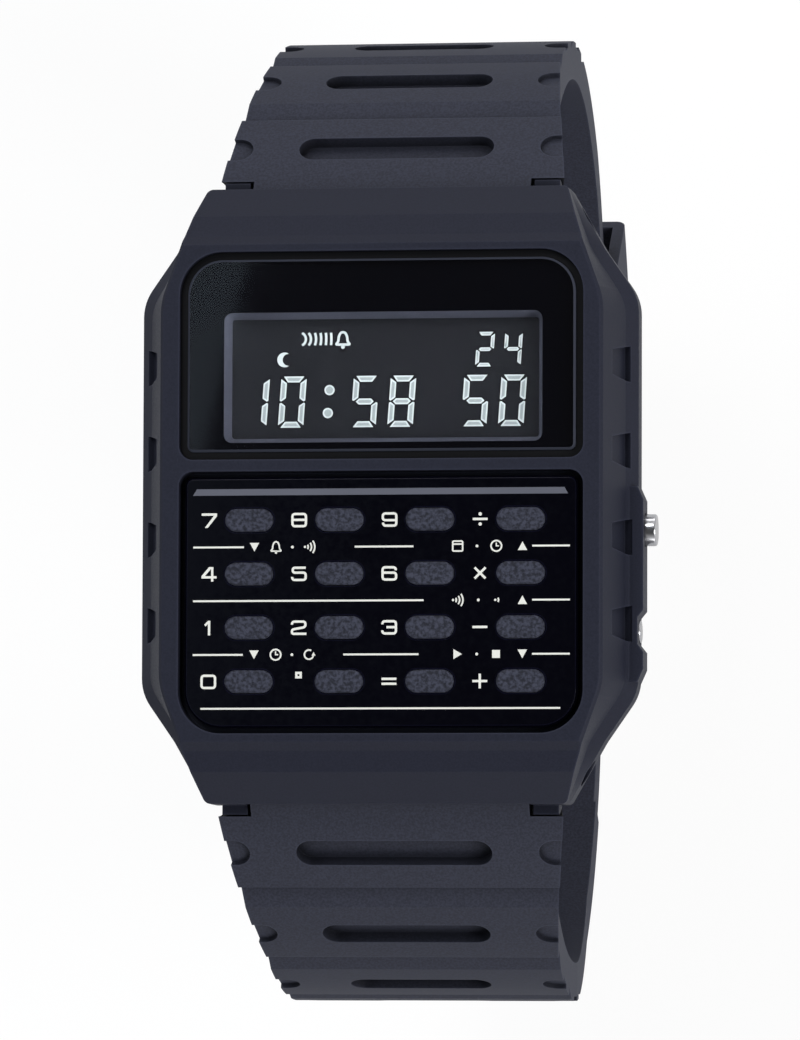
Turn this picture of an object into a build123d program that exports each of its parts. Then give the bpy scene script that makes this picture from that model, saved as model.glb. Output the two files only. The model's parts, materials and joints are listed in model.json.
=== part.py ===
from build123d import *
from math import cos, degrees, radians, sin
import os

os.makedirs("parts", exist_ok=True)

# A calculator watch in black resin, with its strap unbuckled and curled as it is worn.
# Millimetres. The middle of the case back's outer face is the origin, +Z points out of
# the dial, +Y to the 12 o'clock strap and +X to the side with the buttons.

# Main sizes
case_length = 43.2
case_width = 35.1
case_top = 8.2
case_bottom = 0.9
strap_bend_radius = 30.0
strap_thickness = 2.8
strap_upper_length = 69.5
tail_length = 42.0
overrun = 2.0
match_margin = 0.01
edge_break = 0.1
fit_gap = 0.02
running_clearance = 0.05
half_length = case_length / 2
half_width = case_width / 2

# Case seen from above: long sides, cut corners and narrower ends
end_narrowing = 4.85
corner_from_end = 4.4
base_corner_narrowing = 2.35
base_flat_from_end = 7.8
facet_narrowing = 0.8
facet_corner_narrowing = 3.25
facet_flat_from_end = 8.2
bezel_narrowing = 2.0
bezel_corner_narrowing = 3.35
bezel_flat_from_end = 8.2
end_half_width = half_width - end_narrowing
corner_y = half_length - corner_from_end
base_corner_half_width = half_width - base_corner_narrowing
base_flat_y = half_length - base_flat_from_end
facet_half_width = half_width - facet_narrowing
facet_corner_half_width = half_width - facet_corner_narrowing
facet_flat_y = half_length - facet_flat_from_end
bezel_half_width = half_width - bezel_narrowing
bezel_corner_half_width = half_width - bezel_corner_narrowing
bezel_flat_y = half_length - bezel_flat_from_end
side_rounding = 3.4
bezel_rounding = 5.0
corner_rounding = 4.0
end_rounding = 0.5
bezel_bevel = 0.22
bottom_chamfer = 0.5

# Heights of the case's sides: upright, a narrow ledge, then the slanted facet up to the bezel
ledge_drop = 4.8
facet_drop = 3.7
ledge_z = case_top - ledge_drop
facet_z = case_top - facet_drop

# The stepped slope at each end of the case
slope_from_end = 4.25
step_from_end = 3.6
step_drop = 0.55
ridge_from_end = 2.15
ridge_drop = 1.2
lip_drop = 3.3
slope_y = half_length - slope_from_end
step_y = half_length - step_from_end
step_z = case_top - step_drop
ridge_y = half_length - ridge_from_end
ridge_z = case_top - ridge_drop
lip_z = case_top - lip_drop

# The recess for the crystal and the one for the keypad plate
recess_rim = 1.37
divider_y = 1.875
divider_half_width = 0.415
window_from_end = 4.76
window_depth = 1.65
plate_from_end = 4.8
plate_depth = 1.7
large_corner = 3.0
small_corner = 1.0
recess_half_width = bezel_half_width - recess_rim
window_low_y = divider_y + divider_half_width
window_high_y = half_length - window_from_end
window_floor = case_top - window_depth
plate_low_y = plate_from_end - half_length
plate_high_y = divider_y - divider_half_width
plate_floor = case_top - plate_depth

# The space for the works
side_wall = 3.75
end_wall = 6.2
front_wall = 2.3
cavity_chamfer = 4.0
display_hole_side_rim = 2.17
display_hole_low_rim = 0.46
display_hole_high_rim = 3.44
key_hole_side_rim = 1.57
key_hole_low_rim = 1.6
key_hole_high_rim = 1.56
cavity_half_width = half_width - side_wall
cavity_half_length = half_length - end_wall
cavity_ceiling = case_top - front_wall
display_hole_half_width = recess_half_width - display_hole_side_rim
display_hole_low_y = window_low_y + display_hole_low_rim
display_hole_high_y = window_high_y - display_hole_high_rim
key_hole_half_width = recess_half_width - key_hole_side_rim
key_hole_low_y = plate_low_y + key_hole_low_rim
key_hole_high_y = plate_high_y - key_hole_high_rim

# Strap ends, lugs and spring bars
lug_width = 2.6
lug_gap_depth = 4.2
lug_gap_drop = 3.8
knuckle_radius = 1.7
knuckle_gap = 0.1
bar_from_end = 2.2
bar_radius = 0.75
bar_end_gap = 0.15
bar_tip_radius = 0.45
bar_tip_length = 1.8
lug_hole_depth = 0.7
lug_hole_radius = 0.9
lug_nose_gap = 0.12
lug_nose_setback = 0.8
lug_gap_half_width = end_half_width - lug_width
lug_gap_y = half_length - lug_gap_depth
lug_gap_roof = case_top - lug_gap_drop
bar_y = half_length - bar_from_end
bar_z = lug_gap_roof - knuckle_radius - knuckle_gap
bar_half_length = lug_gap_half_width - bar_end_gap
bar_tip_half_length = lug_gap_half_width + bar_tip_length
lug_hole_depth_x = end_half_width - lug_hole_depth

# Strap
strap_lead_in = 3.0
strap_start_angle = 54.0
strap_inner_start_angle = 50.0
strap_turns_together = -136.0
strap_side_gap = 0.25
shoulder_gap = 0.8
shoulder_narrowing = 0.25
neck_distance = 8.0
neck_narrowing = 1.25
waist_distance = 14.5
waist_narrowing = 1.9
middle_distance = 30.0
middle_narrowing = 2.25
keeper_narrowing = 2.65
buckle_end_narrowing = 3.05
tail_taper_distance = 45.0
tail_taper_narrowing = 3.15
tail_narrowing = 3.45
tongue_half_width = lug_gap_half_width - strap_side_gap
shoulder_y = half_length + shoulder_gap
strap_shoulder_half_width = end_half_width - shoulder_narrowing
strap_neck_half_width = strap_shoulder_half_width - neck_narrowing
strap_waist_half_width = strap_shoulder_half_width - waist_narrowing
strap_middle_half_width = strap_shoulder_half_width - middle_narrowing
strap_keeper_half_width = strap_shoulder_half_width - keeper_narrowing
strap_end_half_width = strap_shoulder_half_width - buckle_end_narrowing
tail_taper_half_width = strap_shoulder_half_width - tail_taper_narrowing
tail_half_width = strap_shoulder_half_width - tail_narrowing
lug_nose_radius = shoulder_y - bar_y - lug_nose_gap
lug_nose_half_width = end_half_width - lug_nose_setback
groove_count = 4
groove_first = 6.0
groove_pitch = 8.6
groove_length = 2.1
groove_wall = 0.15
groove_depth = 0.6
slot_before_groove = 3.3
slot_height = 2.2
slot_depth = 0.9
slot_width_first = 13.9
slot_width_step = 1.85
notch_reach = 1.6
notch_depth = 0.35
hole_count = 9
hole_first = 9.0
hole_pitch = 6.0
hole_radius = 1.1
tail_point_length = 6.0

# Buckle and keeper
pin_radius = 0.6
frame_side_gap = 0.3
frame_arm_width = 1.7
frame_length = 12.3
frame_bar_width = 2.0
frame_thickness = 1.8
frame_heel = 1.3
buckle_to_tail_gap = 4.34
tongue_slot_half_width = 1.3
tongue_slot_length = 2.8
tongue_blade_half_width = 0.9
tongue_ring_radius = 1.15
tongue_thickness = 0.7
tongue_overhang = 0.35
keeper_to_pin = 13.0
keeper_run = 9.0
keeper_length = 7.5
keeper_side_gap = 0.2
keeper_wall = 0.9
keeper_inner_gap = 0.15
keeper_outer_gap = 2.9
keeper_rounding = 0.7
frame_inner_half_width = strap_end_half_width + frame_side_gap
keeper_start = strap_upper_length - keeper_to_pin
keeper_half_width_inside = strap_keeper_half_width + keeper_side_gap

# Crystal and display
edge_gap = 0.55
crystal_drop = 0.2
crystal_thickness = 1.2
crystal_bevel = 0.16
mask_thickness = 0.1
gasket_drop = 0.6
gasket_ledge = 1.0
view_side_rim = 0.81
view_low_rim = 0.79
view_high_rim = 0.75
view_corner = 0.6
display_frame_gap = 0.2
display_well_slope = 0.37
lcd_drop = 1.15
lcd_thickness = 1.3
lcd_side_gap = 0.5
lcd_low_gap = 0.05
lcd_high_gap = 0.4
connector_end_gap = 0.4
connector_height = 0.6
connector_width = 1.0
connector_inset = 0.2
crystal_top = case_top - crystal_drop
crystal_bottom = crystal_top - crystal_thickness
mask_bottom = crystal_bottom - mask_thickness
gasket_top = case_top - gasket_drop
view_half_width = display_hole_half_width - view_side_rim
view_low_y = display_hole_low_y + view_low_rim
view_high_y = display_hole_high_y - view_high_rim
display_frame_top = mask_bottom - running_clearance
lcd_top = display_frame_top - lcd_drop
lcd_bottom = lcd_top - lcd_thickness
lcd_half_width = display_hole_half_width - lcd_side_gap
lcd_low_y = display_hole_low_y + lcd_low_gap
lcd_high_y = display_hole_high_y - lcd_high_gap
connector_half_length = lcd_half_width - connector_end_gap

# Keypad
plate_drop = 0.4
plate_bevel = 0.14
plate_edge_gap = 0.4
key_length = 3.4
key_height = 1.6
key_gap = 0.05
key_drop = 0.1
key_rounding = 0.2
key_flange_margin = 0.42
key_flange_thickness = 0.2
key_post_radius = 0.6
key_pitch_x_share = 0.2239
key_first_x_share = -0.3258
key_pitch_y_share = 0.20537
key_first_y_share = 0.1862
dome_radius = 1.0
dome_top_radius = 0.7
dome_hollow_radius = 0.55
dome_reach = 1.4
dome_hollow_reach = 0.8
membrane_thickness = 0.3
membrane_low_rim = 0.5
membrane_high_rim = 0.7
membrane_chamfer = 2.7
plate_top = case_top - plate_drop
plate_height = plate_high_y - plate_low_y
key_top = case_top - key_drop
key_flange_top = plate_floor
key_flange_bottom = key_flange_top - key_flange_thickness
key_pitch_x = 2 * recess_half_width * key_pitch_x_share
key_first_x = 2 * recess_half_width * key_first_x_share
key_pitch_y = plate_height * key_pitch_y_share
key_first_y = plate_high_y - plate_height * key_first_y_share
membrane_half_width = key_hole_half_width
membrane_low_y = key_hole_low_y + membrane_low_rim
membrane_high_y = key_hole_high_y + membrane_high_rim

# Works
board_thickness = 0.6
board_side_gap = 0.9
board_end_gap = 0.5
board_chamfer = 3.2
module_frame_side_gap = 0.5
module_frame_low_rim = 1.8
module_frame_gap = 0.05
back_frame_lift = 0.45
cell_width_share = 0.7752
cell_length_share = 0.6711
cell_x_share = -0.03876
cell_y_share = -0.2886
cell_cap_share = 0.25
cell_cap_inset = 0.8
cell_gap = 0.1
clip_thickness = 0.1
clip_half_width = 2.2
clip_overhang = 0.9
clip_window_length = 8.0
clip_window_width = 1.6
sheet_thickness = 0.08
sheet_drop = 0.22
chip_x_share = 0.1163
part_row_share = 0.7047
chip_size_share = 0.55
chip_height_share = 0.545
chip_rounding = 0.3
chip_window_margin = 0.9
can_x_share = -0.6589
can_radius_share = 0.424
can_length_share = 0.6
can_window_margin = 0.5
disc_x_share = 0.5814
disc_y_share = 0.604
disc_radius_share = 0.5
disc_thickness = 0.2
buzzer_spring_x_share = 0.6977
buzzer_spring_radius = 0.7
buzzer_spring_hole = 1.1
buzzer_spring_turns = 4
spring_wire_radius = 0.1
board_top = lcd_bottom - connector_height
board_bottom = board_top - board_thickness
board_half_width = cavity_half_width - board_side_gap
board_half_length = cavity_half_length - board_end_gap
dome_top = board_top + dome_reach
dome_hollow_top = board_top + dome_hollow_reach
module_frame_half_width = cavity_half_width - module_frame_side_gap
module_frame_low_y = lcd_low_y - module_frame_low_rim
back_frame_bottom = case_bottom + back_frame_lift
works_height = board_bottom - back_frame_bottom
cell_radius = min(board_half_width * cell_width_share, board_half_length * cell_length_share)
cell_x = board_half_width * cell_x_share
cell_y = board_half_length * cell_y_share
cell_thickness = works_height - running_clearance
sheet_bottom = back_frame_bottom - sheet_drop
chip_x = board_half_width * chip_x_share
part_row_y = board_half_length * part_row_share
chip_size = cell_radius * chip_size_share
chip_height = works_height * chip_height_share
can_x = board_half_width * can_x_share
can_radius = works_height * can_radius_share
can_length = cell_radius * can_length_share
can_z = board_bottom - can_radius - running_clearance
disc_x = board_half_width * disc_x_share
disc_y = board_half_length * disc_y_share
disc_radius = cell_radius * disc_radius_share
buzzer_spring_x = board_half_width * buzzer_spring_x_share

# Case back
back_overlap = 0.6
back_chamfer = 1.4
back_edge_break = 0.12
screw_side_gap = 1.0
screw_end_gap = 1.1
screw_radius = 0.6
screw_head_radius = 1.0
screw_head_height = 0.45
screw_head_inset = 0.05
screw_reach = 2.6
screw_slot_width = 0.25
screw_slot_depth = 0.2
screw_clearance = 0.05
seal_inset = 0.2
seal_width = 0.35
seal_height = 0.45
back_half_width = cavity_half_width + back_overlap
back_half_length = cavity_half_length + back_overlap
screw_x = cavity_half_width - screw_side_gap
screw_y = cavity_half_length - screw_end_gap
screw_end_z = case_bottom + screw_reach

# Buttons and their guard
guard_lift = 0.5
guard_front_drop = 4.0
guard_reach = 0.4
guard_slope_length = 0.9
guard_root = 0.75
guard_notch_width = 1.9
guard_notch_flare = 0.5
guard_over_mode_button = 2.97
guard_under_adjust_button = 3.57
mode_button_share = -0.17536
adjust_button_share = -0.69058
button_over_guard_foot = 1.0
button_seat_depth = 1.95
button_spring_length = 0.9
mode_button_radius = 1.12
mode_button_reach = 1.2
adjust_button_radius = 0.8
adjust_button_reach = 0.12
button_head_clearance = 0.085
button_rounding = 0.15
stem_radius = 0.43
stem_reach = 0.8
stem_clearance = 0.03
ring_groove_from_cavity = 0.5
ring_groove_width = 0.6
ring_groove_radius = 0.85
clip_groove_radius = 0.33
retainer_thickness = 0.2
retainer_radius = 0.95
button_spring_turns = 3
contact_from_wall = 1.6
contact_thickness = 0.1
contact_half_width = 0.9
contact_drop = 1.4
contact_notch_gap = 0.4
contact_notch_half_width = 1.4
guard_bottom_z = case_bottom + guard_lift
guard_top_z = case_top - guard_front_drop
guard_top_x = half_width + guard_reach
guard_foot_x = half_width - guard_root
mode_button_y = base_flat_y * mode_button_share
adjust_button_y = base_flat_y * adjust_button_share
guard_high_y = mode_button_y + guard_over_mode_button
guard_low_y = adjust_button_y - guard_under_adjust_button
button_z = guard_bottom_z + button_over_guard_foot
button_seat_x = half_width - button_seat_depth
mode_button_end_x = half_width + mode_button_reach
adjust_button_end_x = half_width + adjust_button_reach
stem_end_x = cavity_half_width - stem_reach
ring_groove_start_x = cavity_half_width + ring_groove_from_cavity
contact_x = cavity_half_width - contact_from_wall
contact_notch_x = contact_x - contact_notch_gap

# Shallow grip pockets in the slanted facet of both sides
pocket_pitch_share = 0.43816
pocket_count = 4
pocket_root_length = 2.5
pocket_tip_length = 1.7
pocket_reach = 2.2
pocket_depth = 0.3
pocket_pitch = base_flat_y * pocket_pitch_share

# The strap's bend and the buckle pin, worked out from the sizes above
start = radians(strap_start_angle)
lead_y = bar_y + knuckle_radius * cos(start)
lead_z = bar_z + knuckle_radius * sin(start)
bend_start_y = lead_y + strap_lead_in * sin(start)
bend_start_z = lead_z - strap_lead_in * cos(start)
bend_y = bend_start_y - strap_bend_radius * cos(start)
bend_z = bend_start_z - strap_bend_radius * sin(start)
pin_angle = strap_start_angle - degrees(strap_upper_length / strap_bend_radius)
pin_track_radius = strap_bend_radius - strap_thickness / 2
pin_y = bend_y + pin_track_radius * cos(radians(pin_angle))
pin_z = bend_z + pin_track_radius * sin(radians(pin_angle))

# The long strap's tail curls tighter, so that it passes inside the buckle's tip
tail_start_angle = strap_turns_together - pin_angle
tail_turn = radians(tail_start_angle)
buckle_tip_y = pin_y + frame_length * sin(radians(pin_angle))
buckle_tip_z = pin_z - frame_length * cos(radians(pin_angle))
to_tip_y = buckle_tip_y + bend_y + strap_bend_radius * cos(tail_turn)
to_tip_z = buckle_tip_z - bend_z - strap_bend_radius * sin(tail_turn)
tip_rise = to_tip_y * cos(tail_turn) - to_tip_z * sin(tail_turn)
tip_reach_squared = to_tip_y ** 2 + to_tip_z ** 2 - buckle_to_tail_gap ** 2
tail_bend_radius = tip_reach_squared / (2 * (buckle_to_tail_gap + tip_rise))
tail_y = bend_y + (strap_bend_radius - tail_bend_radius) * cos(tail_turn)
tail_z = bend_z + (strap_bend_radius - tail_bend_radius) * sin(tail_turn)
tail_end_angle = tail_start_angle - degrees(tail_length / tail_bend_radius)


def bend_angle(distance):
    """Angle on the strap's bend at a distance along its outer face."""
    return strap_start_angle - degrees(distance / strap_bend_radius)


def bend_point(radius, angle, side):
    """Point on the strap's bend, for the 12 o'clock side (1) or the 6 o'clock side (-1)."""
    y = bend_y + radius * cos(radians(angle))
    return (side * y, bend_z + radius * sin(radians(angle)))


def tail_point(radius, angle, side):
    """Point on the tighter bend of the long strap's tail."""
    y = tail_y + radius * cos(radians(angle))
    return (side * y, tail_z + radius * sin(radians(angle)))


def strap_taper_rows(side):
    """Heights down the strap's bend, each with the strap's half width there."""
    rows = [
        (case_top, strap_shoulder_half_width),
        (lead_z, strap_shoulder_half_width),
    ]
    widths = [
        (neck_distance, strap_neck_half_width),
        (waist_distance, strap_waist_half_width),
        (middle_distance, strap_middle_half_width),
    ]
    if side == 1:
        widths.append((keeper_start - keeper_run, strap_keeper_half_width))
        widths.append((strap_upper_length - frame_heel - tongue_slot_length, strap_end_half_width))
    else:
        widths.append((tail_taper_distance, tail_taper_half_width))
    for distance, width in widths:
        rows.append((bend_point(strap_bend_radius, bend_angle(distance), 1)[1], width))
    last_width = strap_end_half_width if side == 1 else tail_half_width
    rows.append((bend_z - strap_bend_radius - overrun, last_width))
    return rows


def strap_half_width(z, side):
    """Half the strap's width at a height, between the named widths."""
    rows = strap_taper_rows(side)
    for (high_z, high_width), (low_z, low_width) in zip(rows, rows[1:]):
        if low_z <= z <= high_z:
            part_way = (high_z - z) / (high_z - low_z)
            return high_width + (low_width - high_width) * part_way
    return rows[-1][1]


def case_outline(flat_half_width, corner_half_width, flat_y, rounding, inset=0):
    """The case seen from above: long straight sides, cut corners and narrower ends."""
    quarter = [
        (flat_half_width - inset, flat_y),
        (corner_half_width - inset, corner_y),
        (end_half_width - inset, half_length - inset),
    ]
    mirrored = [(x, -y) for x, y in reversed(quarter)]
    right = [*mirrored, *quarter]
    left = [(-x, -y) for x, y in right]
    corner_rows = [
        (flat_y, rounding),
        (corner_y, corner_rounding),
        (half_length - inset, end_rounding),
    ]
    with BuildSketch() as outline:
        with BuildLine():
            Polyline(*right, *left, close=True)
        make_face()
        for reach_y, radius in corner_rows:
            chosen = [v for v in outline.vertices() if abs(abs(v.Y) - reach_y) < match_margin]
            fillet(chosen, radius)
    return outline.sketch


def draw_recess(low_y, high_y, low_radius, high_radius, inset):
    """A recess outline with one pair of large corners and one of small corners."""
    with Locations((0, (low_y + high_y) / 2)):
        Rectangle(2 * (recess_half_width - inset), high_y - low_y - 2 * inset)
    fillet(vertices().group_by(Axis.Y)[0], low_radius - inset)
    fillet(vertices().group_by(Axis.Y)[-1], high_radius - inset)


def draw_window(inset=0):
    draw_recess(window_low_y, window_high_y, small_corner, large_corner, inset)


def draw_plate(inset=0):
    draw_recess(plate_low_y, plate_high_y, large_corner, small_corner, inset)


def draw_rectangle(low_x, high_x, low_y, high_y):
    with Locations(((low_x + high_x) / 2, (low_y + high_y) / 2)):
        Rectangle(high_x - low_x, high_y - low_y)


def draw_cavity(offset_out=0):
    """The cavity's outline, a rectangle with cut corners, moved out by a margin."""
    Rectangle(2 * (cavity_half_width + offset_out), 2 * (cavity_half_length + offset_out))
    chamfer(vertices(), cavity_chamfer + offset_out * (2 - 2 ** 0.5))


def across(y, z):
    """A plane square to X with its origin on a line at y, z. Its own x is Y and its own y is Z."""
    return Plane(origin=(0, y, z), x_dir=(0, 1, 0), z_dir=(1, 0, 0))


def radial_plane(y, z, angle, side):
    """A plane tangent to the strap, facing out along the bend's radius."""
    outward = (0, side * cos(radians(angle)), sin(radians(angle)))
    return Plane(origin=(0, y, z), x_dir=(1, 0, 0), z_dir=outward)


# Case
with BuildPart() as case:
    base = (half_width, base_corner_half_width, base_flat_y, side_rounding)
    facet_foot = (facet_half_width, facet_corner_half_width, facet_flat_y, side_rounding)
    bezel = (bezel_half_width, bezel_corner_half_width, bezel_flat_y, bezel_rounding)
    with BuildSketch(Plane.XY.offset(case_bottom)):
        add(case_outline(*base))
    extrude(amount=ledge_z - case_bottom)
    chamfer(case.faces().sort_by(Axis.Z)[0].outer_wire().edges(), bottom_chamfer)
    with BuildSketch(Plane.XY.offset(ledge_z)):
        add(case_outline(*base))
    with BuildSketch(Plane.XY.offset(facet_z)):
        add(case_outline(*facet_foot))
    with BuildSketch(Plane.XY.offset(case_top - bezel_bevel)):
        add(case_outline(*bezel))
    with BuildSketch(Plane.XY.offset(case_top)):
        add(case_outline(*bezel, bezel_bevel))
    loft(ruled=True)

    # The stepped slope down to each strap
    for side in (1, -1):
        with BuildSketch(Plane.YZ):
            with BuildLine():
                Polyline(
                    (side * slope_y, case_top + overrun),
                    (side * slope_y, case_top),
                    (side * step_y, step_z),
                    (side * (ridge_y - edge_break), ridge_z + edge_break / 2),
                    (side * ridge_y, ridge_z),
                    (side * (half_length - edge_break), lip_z + edge_break),
                    (side * half_length, lip_z),
                    (side * (half_length + overrun), lip_z),
                    (side * (half_length + overrun), case_top + overrun),
                    close=True,
                )
            make_face()
        extrude(amount=case_width, both=True, mode=Mode.SUBTRACT)

    # The raised guard beside the buttons
    with BuildSketch(Plane.XY.offset(guard_bottom_z)):
        with BuildLine():
            Polyline(
                (guard_foot_x, guard_high_y),
                (half_width, guard_high_y),
                (guard_top_x, guard_high_y - guard_slope_length),
                (guard_top_x, guard_low_y + guard_slope_length),
                (half_width, guard_low_y),
                (guard_foot_x, guard_low_y),
                close=True,
            )
        make_face()
    extrude(amount=guard_top_z - guard_bottom_z)
    notch_wide = guard_notch_width / 2 + guard_notch_flare
    with BuildSketch(Plane.XY.offset(guard_bottom_z)):
        with BuildLine():
            Polyline(
                (half_width, adjust_button_y + guard_notch_width / 2),
                (guard_top_x, adjust_button_y + notch_wide),
                (guard_top_x + overrun, adjust_button_y + notch_wide),
                (guard_top_x + overrun, adjust_button_y - notch_wide),
                (guard_top_x, adjust_button_y - notch_wide),
                (half_width, adjust_button_y - guard_notch_width / 2),
                close=True,
            )
        make_face()
    extrude(amount=guard_top_z - guard_bottom_z, mode=Mode.SUBTRACT)

    # Recesses in the face and the space for the works
    with BuildSketch(Plane.XY.offset(window_floor)):
        draw_window()
    extrude(amount=case_top - window_floor + overrun, mode=Mode.SUBTRACT)
    with BuildSketch(Plane.XY.offset(plate_floor)):
        draw_plate()
    extrude(amount=case_top - plate_floor + overrun, mode=Mode.SUBTRACT)
    with BuildSketch(Plane.XY.offset(cavity_ceiling)):
        draw_rectangle(
            -display_hole_half_width, display_hole_half_width,
            display_hole_low_y, display_hole_high_y,
        )
        draw_rectangle(-key_hole_half_width, key_hole_half_width, key_hole_low_y, key_hole_high_y)
    extrude(amount=case_top - cavity_ceiling, mode=Mode.SUBTRACT)
    with BuildSketch(Plane.XY.offset(case_bottom)):
        draw_cavity()
    extrude(amount=cavity_ceiling - case_bottom, mode=Mode.SUBTRACT)

    # The groove for the back's seal and the holes for its screws
    with BuildSketch(Plane.XY.offset(case_bottom)):
        draw_cavity(seal_inset + seal_width)
        with BuildSketch(mode=Mode.SUBTRACT):
            draw_cavity(seal_inset)
    extrude(amount=seal_height, mode=Mode.SUBTRACT)
    with BuildSketch(Plane.XY.offset(case_bottom)):
        with GridLocations(2 * screw_x, 2 * screw_y, 2, 2):
            Circle(screw_radius + fit_gap)
    extrude(amount=screw_end_z - case_bottom + edge_break, mode=Mode.SUBTRACT)

    # Rounded lug noses under the shoulders of the strap
    for side in (1, -1):
        for hand in (1, -1):
            low_x, high_x = sorted((hand * lug_gap_half_width, hand * lug_nose_half_width))
            with BuildSketch(across(side * bar_y, bar_z).offset(low_x)):
                Circle(lug_nose_radius)
                with Locations((0, (case_bottom - bar_z) / 2)):
                    Rectangle(2 * lug_nose_radius, bar_z - case_bottom, mode=Mode.INTERSECT)
            extrude(amount=high_x - low_x)

    # The gaps between the lugs and the holes for the spring bars
    for side in (1, -1):
        with BuildSketch(Plane.XY.offset(lug_gap_roof)):
            low_y, high_y = sorted((side * lug_gap_y, side * (half_length + overrun)))
            draw_rectangle(-lug_gap_half_width, lug_gap_half_width, low_y, high_y)
        extrude(amount=-lug_gap_roof, mode=Mode.SUBTRACT)
        with BuildSketch(across(side * bar_y, bar_z)):
            Circle(bar_tip_radius + running_clearance)
        extrude(amount=case_width, both=True, mode=Mode.SUBTRACT)
        for hand in (1, -1):
            with BuildSketch(across(side * bar_y, bar_z).offset(hand * lug_hole_depth_x)):
                Circle(lug_hole_radius)
            extrude(amount=hand * overrun * 2, mode=Mode.SUBTRACT)

    # Bores for the two buttons
    button_rows = [
        (mode_button_y, mode_button_radius),
        (adjust_button_y, adjust_button_radius),
    ]
    for button_y, head_radius in button_rows:
        with BuildSketch(across(button_y, button_z).offset(button_seat_x)):
            Circle(head_radius + button_head_clearance)
        extrude(amount=overrun * 2, mode=Mode.SUBTRACT)
        with BuildSketch(across(button_y, button_z).offset(cavity_half_width - overrun / 2)):
            Circle(stem_radius + stem_clearance)
        extrude(amount=overrun * 2, mode=Mode.SUBTRACT)
        with BuildSketch(across(button_y, button_z).offset(ring_groove_start_x)):
            Circle(ring_groove_radius)
        extrude(amount=ring_groove_width, mode=Mode.SUBTRACT)

    # Grip pockets in the slanted side facets
    facet_run = facet_half_width - bezel_half_width
    for hand in (1, -1):
        facet_normal = Vector(hand * (case_top - facet_z), 0, facet_run)
        for pocket in range(pocket_count):
            pocket_y = (pocket - (pocket_count - 1) / 2) * pocket_pitch
            facet = Plane(
                origin=(hand * facet_half_width, pocket_y, facet_z),
                x_dir=(0, 1, 0),
                z_dir=facet_normal,
            )
            with BuildSketch(facet):
                with BuildLine():
                    Polyline(
                        (-pocket_root_length / 2, -hand * overrun / 4),
                        (pocket_root_length / 2, -hand * overrun / 4),
                        (pocket_tip_length / 2, hand * pocket_reach),
                        (-pocket_tip_length / 2, hand * pocket_reach),
                        close=True,
                    )
                make_face()
            extrude(amount=pocket_depth, both=True, mode=Mode.SUBTRACT)
case.part.label = "case"
export_step(case.part, "parts/case.step")

# Crystal, the black print under it and its gasket
with BuildPart() as display_crystal:
    with BuildSketch(Plane.XY.offset(crystal_bottom)):
        draw_window(edge_gap)
    extrude(amount=crystal_top - crystal_bottom)
    chamfer(display_crystal.faces().sort_by(Axis.Z)[-1].edges(), crystal_bevel)
display_crystal.part.label = "display_crystal"
export_step(display_crystal.part, "parts/display_crystal.step")

with BuildPart() as window_mask:
    with BuildSketch(Plane.XY.offset(mask_bottom)):
        draw_window(edge_gap)
        with BuildSketch(mode=Mode.SUBTRACT):
            draw_rectangle(-view_half_width, view_half_width, view_low_y, view_high_y)
            fillet(vertices(), view_corner)
    extrude(amount=mask_thickness)
window_mask.part.label = "window_mask"
export_step(window_mask.part, "parts/window_mask.step")

with BuildPart() as crystal_gasket:
    with BuildSketch(Plane.XY.offset(window_floor)):
        draw_window(fit_gap)
        with BuildSketch(mode=Mode.SUBTRACT):
            draw_window(edge_gap - fit_gap)
    extrude(amount=gasket_top - window_floor)
    with BuildSketch(Plane.XY.offset(window_floor)):
        draw_window(fit_gap)
        with BuildSketch(mode=Mode.SUBTRACT):
            draw_rectangle(
                gasket_ledge - recess_half_width,
                recess_half_width - gasket_ledge,
                window_low_y + gasket_ledge,
                window_high_y - gasket_ledge,
            )
            draw_rectangle(
                -display_hole_half_width,
                display_hole_half_width,
                display_hole_low_y,
                display_hole_high_y,
            )
    extrude(amount=mask_bottom - window_floor)
crystal_gasket.part.label = "crystal_gasket"
export_step(crystal_gasket.part, "parts/crystal_gasket.step")

# Grey frame round the display, with sloping inner walls
with BuildPart() as display_frame:
    with BuildSketch(Plane.XY.offset(lcd_top)):
        draw_rectangle(
            display_frame_gap - display_hole_half_width,
            display_hole_half_width - display_frame_gap,
            display_hole_low_y + display_frame_gap,
            display_hole_high_y - display_frame_gap,
        )
    extrude(amount=display_frame_top - lcd_top)
    with BuildSketch(Plane.XY.offset(display_frame_top)):
        draw_rectangle(-view_half_width, view_half_width, view_low_y, view_high_y)
        fillet(vertices(), view_corner)
    with BuildSketch(Plane.XY.offset(lcd_top)):
        draw_rectangle(
            display_well_slope - view_half_width,
            view_half_width - display_well_slope,
            view_low_y + display_well_slope,
            view_high_y - display_well_slope,
        )
        fillet(vertices(), view_corner - display_well_slope)
    loft(ruled=True, mode=Mode.SUBTRACT)
display_frame.part.label = "display_frame"
export_step(display_frame.part, "parts/display_frame.step")

with BuildPart() as lcd_panel:
    with BuildSketch(Plane.XY.offset(lcd_bottom)):
        draw_rectangle(-lcd_half_width, lcd_half_width, lcd_low_y, lcd_high_y)
    extrude(amount=lcd_top - lcd_bottom)
    chamfer(lcd_panel.faces().sort_by(Axis.Z)[-1].edges(), edge_break)
lcd_panel.part.label = "lcd_panel"
export_step(lcd_panel.part, "parts/lcd_panel.step")

with BuildPart() as zebra_connectors:
    with BuildSketch(Plane.XY.offset(board_top)):
        low_strip = lcd_low_y + connector_inset
        high_strip = lcd_high_y - connector_inset
        draw_rectangle(-connector_half_length, connector_half_length, low_strip, low_strip + connector_width)
        draw_rectangle(
            -connector_half_length, connector_half_length,
            high_strip - connector_width, high_strip,
        )
    extrude(amount=lcd_bottom - board_top)
zebra_connectors.part.label = "zebra_connectors"
export_step(zebra_connectors.part, "parts/zebra_connectors.step")

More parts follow.
